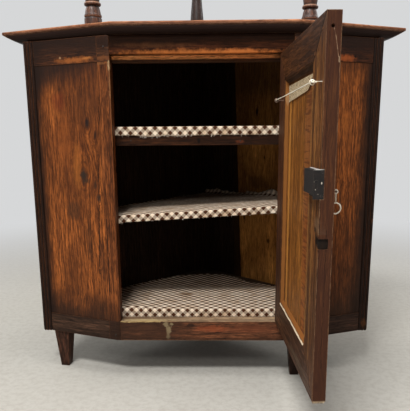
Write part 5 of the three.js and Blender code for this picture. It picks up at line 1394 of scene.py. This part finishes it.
screwHeads("carcase_nails", "cabinet", "nail", nails, blackIron)
print("small fittings placed")


# a pale strip worn under the free end of the door
footStrip = {  # in millimetres; outer and inner are its two sides, at the top and at the foot
    "from": -452.6, "long": 74.0, "steps": 24, "drop": 2.6, "top": 171.2, "foot": 171.0,
    "outer": (7.0, 8.0), "inner": (30.0, 29.6),
}


def fitFootStrip():
    looks = footStrip
    verts = []
    steps, (outer, outerFoot), (innerTop, innerFoot) = looks["steps"], looks["outer"], looks["inner"]
    for i in range(steps + 1):
        x = looks["from"] + looks["long"] * i / steps
        low = looks["foot"] - (looks["drop"] * (1 - (i / steps) ** 2) + 0.3 * wander(i * 0.7, 3, 0))
        inner = innerTop + 0.5 * wander(i * 0.9, 1, 0)
        corners = ((outer, looks["top"]), (inner, looks["top"]), (innerFoot, low), (outerFoot, low))
        verts += [onDoor(x, y, z) for y, z in corners]
    stripFinish = woodFinish(
        "footStripFinish",
        {**doorBase, "pale": (206, 190, 164), "deep": (150, 132, 108), "grain": "back", "shift": 2.0},
    )
    obj = addMesh("door_foot_strip", verts, ringFaces(steps + 1, 4, flip=True), stripFinish, smooth=False)
    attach(obj, "door")


fitFootStrip()


# torn strip of ribbed tape: places in millimetres on the door
tapeSettings = {
    "hingeSide": -90.8, "low": 741.0, "high": 778.0, "face": 22.4, "thick": 1.0, "skin": 0.6,
    "lowerEdge": [(-90.8, 741.0), (-297.0, 751.0)], "torn": [(751.0, -297.0), (759.1, -320.0), (778.0, -343.0)],
    "ribs": 9, "ribDepth": 0.35, "cream": (220, 200, 164), "shade": (160, 134, 100), "stain": (138, 106, 72),
    "slant": -24, "columns": 90, "rowsPerRib": 6,  # slant of its stained lines in degrees
}


def tapeFinish():
    material, tree, flat = startFinish("creamTape", onCut=True)
    slanted = turnedFlat(tree, flat, tapeSettings["slant"])
    lines = noiseOn(tree, vectorSums(tree, "MULTIPLY", slanted, (0.12, 1, 1)), 420.0, 4.0, 0.7)
    cream, shade = paint(*tapeSettings["cream"]), paint(*tapeSettings["shade"])
    colour = mixed(tree, spread(tree, lines, 0.42, 0.62), cream, shade)
    stained = spread(tree, noiseOn(tree, flat, 60.0, 4.0, 0.7), 0.52, 0.7)
    colour = tinted(tree, colour, stained, 0.55, tapeSettings["stain"])
    endFinish(tree, colour, sums(tree, "MULTIPLY_ADD", lines, 0.25, 0.6), lines, 0.4, 0.0003)
    return material


def stickTape():
    looks = tapeSettings
    columns, rows = looks["columns"], looks["rowsPerRib"] * looks["ribs"]
    (startX, startZ), (endX, endZ) = looks["lowerEdge"]
    verts, cuts = [], []

    def tornAt(z):
        for (z0, x0), (z1, x1) in zip(looks["torn"], looks["torn"][1:]):
            if z <= z1:
                return x0 + (x1 - x0) * (z - z0) / (z1 - z0)
        return looks["torn"][-1][1]

    for r in range(rows + 1):
        up = r / rows
        ragged = 2.6 * wander(up * 9, 3, 0) + 1.6 * wander(up * 31, 7, 0)
        level = endZ + (looks["high"] - endZ) * up
        tornEdge = max(tornAt(level) + 1.5, tornAt(level) + 2.5 + ragged)
        for k in range(columns + 1):
            share = k / columns
            x = looks["hingeSide"] + (tornEdge - looks["hingeSide"]) * share
            low = startZ + (endZ - startZ) * min(1.0, (x - startX) / (endX - startX))
            z = low + (looks["high"] - low) * up
            rib = looks["ribDepth"] * math.sin(2 * math.pi * looks["ribs"] * up)
            bulge = 0.5 * wander(x / 30, z / 16, 4)
            curl = 2.4 * max(0.0, share - 0.93) / 0.07 * max(0.0, wander(up * 4, 1, 6) + 0.3)
            verts.append(onDoor(x, looks["face"] + looks["thick"] + rib + max(0.0, bulge) + curl, z))
            cuts.append((x * mm, z * mm))
    obj = addMesh("ribbed_tape_strip", verts, gridFaces(rows + 1, columns + 1, flip=True), tapeFinish())
    layCut(obj, cuts, looks["skin"] * mm)
    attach(obj, "door")
    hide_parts("ribbed_tape")


stickTape()


# curtain wire: from its hook's ring to its eye's ring, then a thin loose tail along the stile
wireSettings = {
    "start": (-55.6, 48.0, 749.0), "knot": (-402.8, 39.0, 757.0),
    "tail": [
        (-406.5, 36.2, 756.8), (-413.2, 33.6, 755.3), (-425.0, 33.2, 754.2), (-436.0, 33.2, 753.1),
        (-447.8, 33.2, 752.0),
    ],
    "thick": 2.2, "thin": 0.5, "sag": 0.7,
}


def wireFinish():
    material, tree, place = startFinish("whiteWire")
    dirt = noiseOn(tree, place, 140.0, 4.0, 0.7)
    colour = mixed(tree, spread(tree, dirt, 0.45, 0.68), paint(255, 250, 234), paint(226, 210, 178))
    endFinish(tree, colour, sums(tree, "MULTIPLY_ADD", dirt, 0.3, 0.3), dirt, 0.2, 0.0002)
    return material


whiteWire = wireFinish()


def stringWire():
    looks = wireSettings
    start, knot = Vector(looks["start"]), Vector(looks["knot"])
    route = []
    for i in range(15):
        share = i / 14
        point = start.lerp(knot, share)
        point.z -= looks["sag"] * 4 * share * (1 - share)
        route.append((point, 1.0))
    route += [(Vector(point), looks["thin"]) for point in looks["tail"]]
    curve = bpy.data.curves.new("curtain_wire_strung", "CURVE")
    curve.dimensions = "3D"
    curve.bevel_depth = looks["thick"] / 2 * mm
    curve.bevel_resolution = 3
    curve.use_fill_caps = True
    spline = curve.splines.new("POLY")
    spline.points.add(len(route) - 1)
    places = [Vector(onDoor(*point)) for point, _ in route]
    for point, place, (_, thickness) in zip(spline.points, places, route):
        point.co = (*place, 1)
        point.radius = thickness
    curve.materials.append(whiteWire)
    obj = addObject("curtain_wire_strung", curve)
    knots = [windKnot("wire_knot_" + word, centre, along, size) for word, centre, along, size in (
        ("hook", start, (knot - start).normalized(), 0.75), ("eye", knot, (knot - start).normalized(), 1.0),
    )]
    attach(obj, "door")
    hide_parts("curtain_wire")


knotWireRadius = 0.0009
knotLooks = {"steps": 45, "windings": 3.2, "radius": 2.0, "swell": 0.5, "swells": 9, "long": 5.0}  # in millimetres


def windKnot(name, centre, along, size):  # the wire's end wrapped round itself
    side = along.orthogonal().normalized()
    other = along.cross(side)
    looks = knotLooks
    points = []
    for i in range(looks["steps"] + 1):
        turn = i / looks["steps"]
        angle = turn * fullTurn * looks["windings"]
        radius = (looks["radius"] + looks["swell"] * math.sin(turn * looks["swells"])) * size
        shift = (turn - 0.5) * looks["long"] * size
        out = side * radius * math.cos(angle) + other * radius * math.sin(angle)
        points.append(onDoor(*(centre + along * shift + out)))
    verts, faces = [], []
    addTube(points, knotWireRadius, 7, verts, faces)
    obj = addMesh(name, verts, faces, whiteWire)
    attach(obj, "door")
    return obj


stringWire()
print("tape and wire fitted")


# floor, light, camera

backdropColour = (214, 215, 216)
floorHalf, floorGap = 9, 0.0005
floorFade = (0.8, 3.2)  # how far from the middle the ground begins and ends its change to the backdrop


def seenDirectly(tree):  # 1 for the camera, and in mirrors and glass
    rays = put(tree, "ShaderNodeLightPath").outputs
    mirrored = sums(tree, "ADD", rays["Is Camera Ray"], rays["Is Glossy Ray"])
    return sums(tree, "ADD", mirrored, rays["Is Transmission Ray"], clamp=True)


def makeFloor():  # pale ground that fades into the backdrop far away, for the eye only
    material, tree, place = startFinish("paleFloor")
    shader = tree.nodes["Principled BSDF"]
    mottle = noiseOn(tree, place, 2.2, 6.0, 0.62)
    ground = mixed(tree, mottle, paint(184, 180, 170), paint(200, 197, 189))
    specks = spread(tree, noiseOn(tree, place, 55.0, 5.0, 0.75), 0.4, 0.66)
    feed(tree, shader, "Base Color", tinted(tree, ground, specks, 0.45, (168, 162, 152)))
    feed(tree, shader, "Roughness", 0.6)
    feed(tree, shader, "Specular IOR Level", 0.2)
    away = vectorSums(tree, "LENGTH", vectorSums(tree, "MULTIPLY", place, (1, 1, 0)))
    share = times(tree, spread(tree, away, *floorFade), seenDirectly(tree))
    far = put(tree, "ShaderNodeEmission", {"Color": paint(*backdropColour), "Strength": 1.0})
    both = put(tree, "ShaderNodeMixShader", {0: share, 1: shader.outputs[0], 2: far.outputs[0]})
    feed(tree, tree.nodes["Material Output"], "Surface", both.outputs[0])
    corners = [(x * floorHalf, y * floorHalf, 0) for x, y in ((-1, -1), (1, -1), (1, 1), (-1, 1))]
    floor = addMesh("floor", corners, [(0, 1, 2, 3)], material, smooth=False)
    floor.location.z = -floorGap


def makeWorld():
    world = bpy.data.worlds.new("studio")
    bpy.context.scene.world = world
    world.use_nodes = True
    tree = world.node_tree
    tree.nodes.clear()
    fill = put(tree, "ShaderNodeBackground", {"Color": (1, 0.97, 0.93, 1), "Strength": 0.2})
    backdrop = put(tree, "ShaderNodeBackground", {"Color": paint(*backdropColour), "Strength": 1.0})
    both = put(tree, "ShaderNodeMixShader", {0: seenDirectly(tree), 1: fill.outputs[0], 2: backdrop.outputs[0]})
    put(tree, "ShaderNodeOutputWorld", {"Surface": both.outputs[0]})


lampLooks = {
    "overhead": {"at": (0.0, -0.5, 3.2), "to": (0.0, 0.0, 0.4), "size": (2.2, 1.4), "watts": 42},
    "frontHigh": {"at": (-0.7, -2.2, 3.4), "to": (0.0, 0.0, 0.4), "size": (1.1, 0.5), "watts": 112},
    "frontLow": {"at": (-0.6, -3.3, 2.7), "to": (0.0, 0.0, 0.4), "size": (1.2, 0.6), "watts": 20},
    "backRight": {"at": (2.6, 1.3, 2.3), "to": (0.5, 0.1, 0.0), "size": (1.0, 1.0), "watts": 22},
    "backLeft": {"at": (-2.6, 1.3, 2.3), "to": (-0.4, 0.1, 0.0), "size": (1.0, 1.0), "watts": 12},
}


def makeLamps():
    for name, looks in lampLooks.items():
        lamp = bpy.data.lights.new(name, "AREA")
        lamp.shape = "RECTANGLE"
        lamp.size, lamp.size_y = looks["size"]
        lamp.energy = looks["watts"]
        obj = addObject(name, lamp)
        obj.location = looks["at"]
        direction = Vector(looks["to"]) - Vector(looks["at"])
        obj.rotation_euler = direction.to_track_quat("-Z", "Y").to_euler()


cameraLooks = {
    "at": (0.036025, -1.462638, 0.659872), "down": 12.083, "turn": -1.275, "roll": -0.399,
    "focal": 525.08, "frameWidth": 410, "shift": 45.5,  # the last three in pixels of the frame
}
filmWidth = 36


def makeCamera():
    down, turn, roll = (math.radians(cameraLooks[key]) for key in ("down", "turn", "roll"))
    ahead = Vector((math.sin(turn) * math.cos(down), math.cos(turn) * math.cos(down), -math.sin(down)))
    right = Vector((math.cos(turn), -math.sin(turn), 0))
    up = right.cross(ahead)
    tiltedRight = right * math.cos(roll) + up * math.sin(roll)
    tiltedUp = up * math.cos(roll) - right * math.sin(roll)
    camera = bpy.data.cameras.new("camera")
    camera.sensor_fit = "HORIZONTAL"
    camera.sensor_width = filmWidth
    camera.lens = cameraLooks["focal"] / cameraLooks["frameWidth"] * filmWidth
    camera.shift_y = cameraLooks["shift"] / cameraLooks["frameWidth"]
    obj = addObject("camera", camera)
    turned = Matrix((tiltedRight, tiltedUp, -ahead)).transposed().to_4x4()
    obj.matrix_world = Matrix.Translation(cameraLooks["at"]) @ turned
    bpy.context.scene.camera = obj


makeFloor()
makeWorld()
makeLamps()
makeCamera()
bpy.context.scene.view_settings.view_transform = "Standard"
print("floor, light and camera ready")
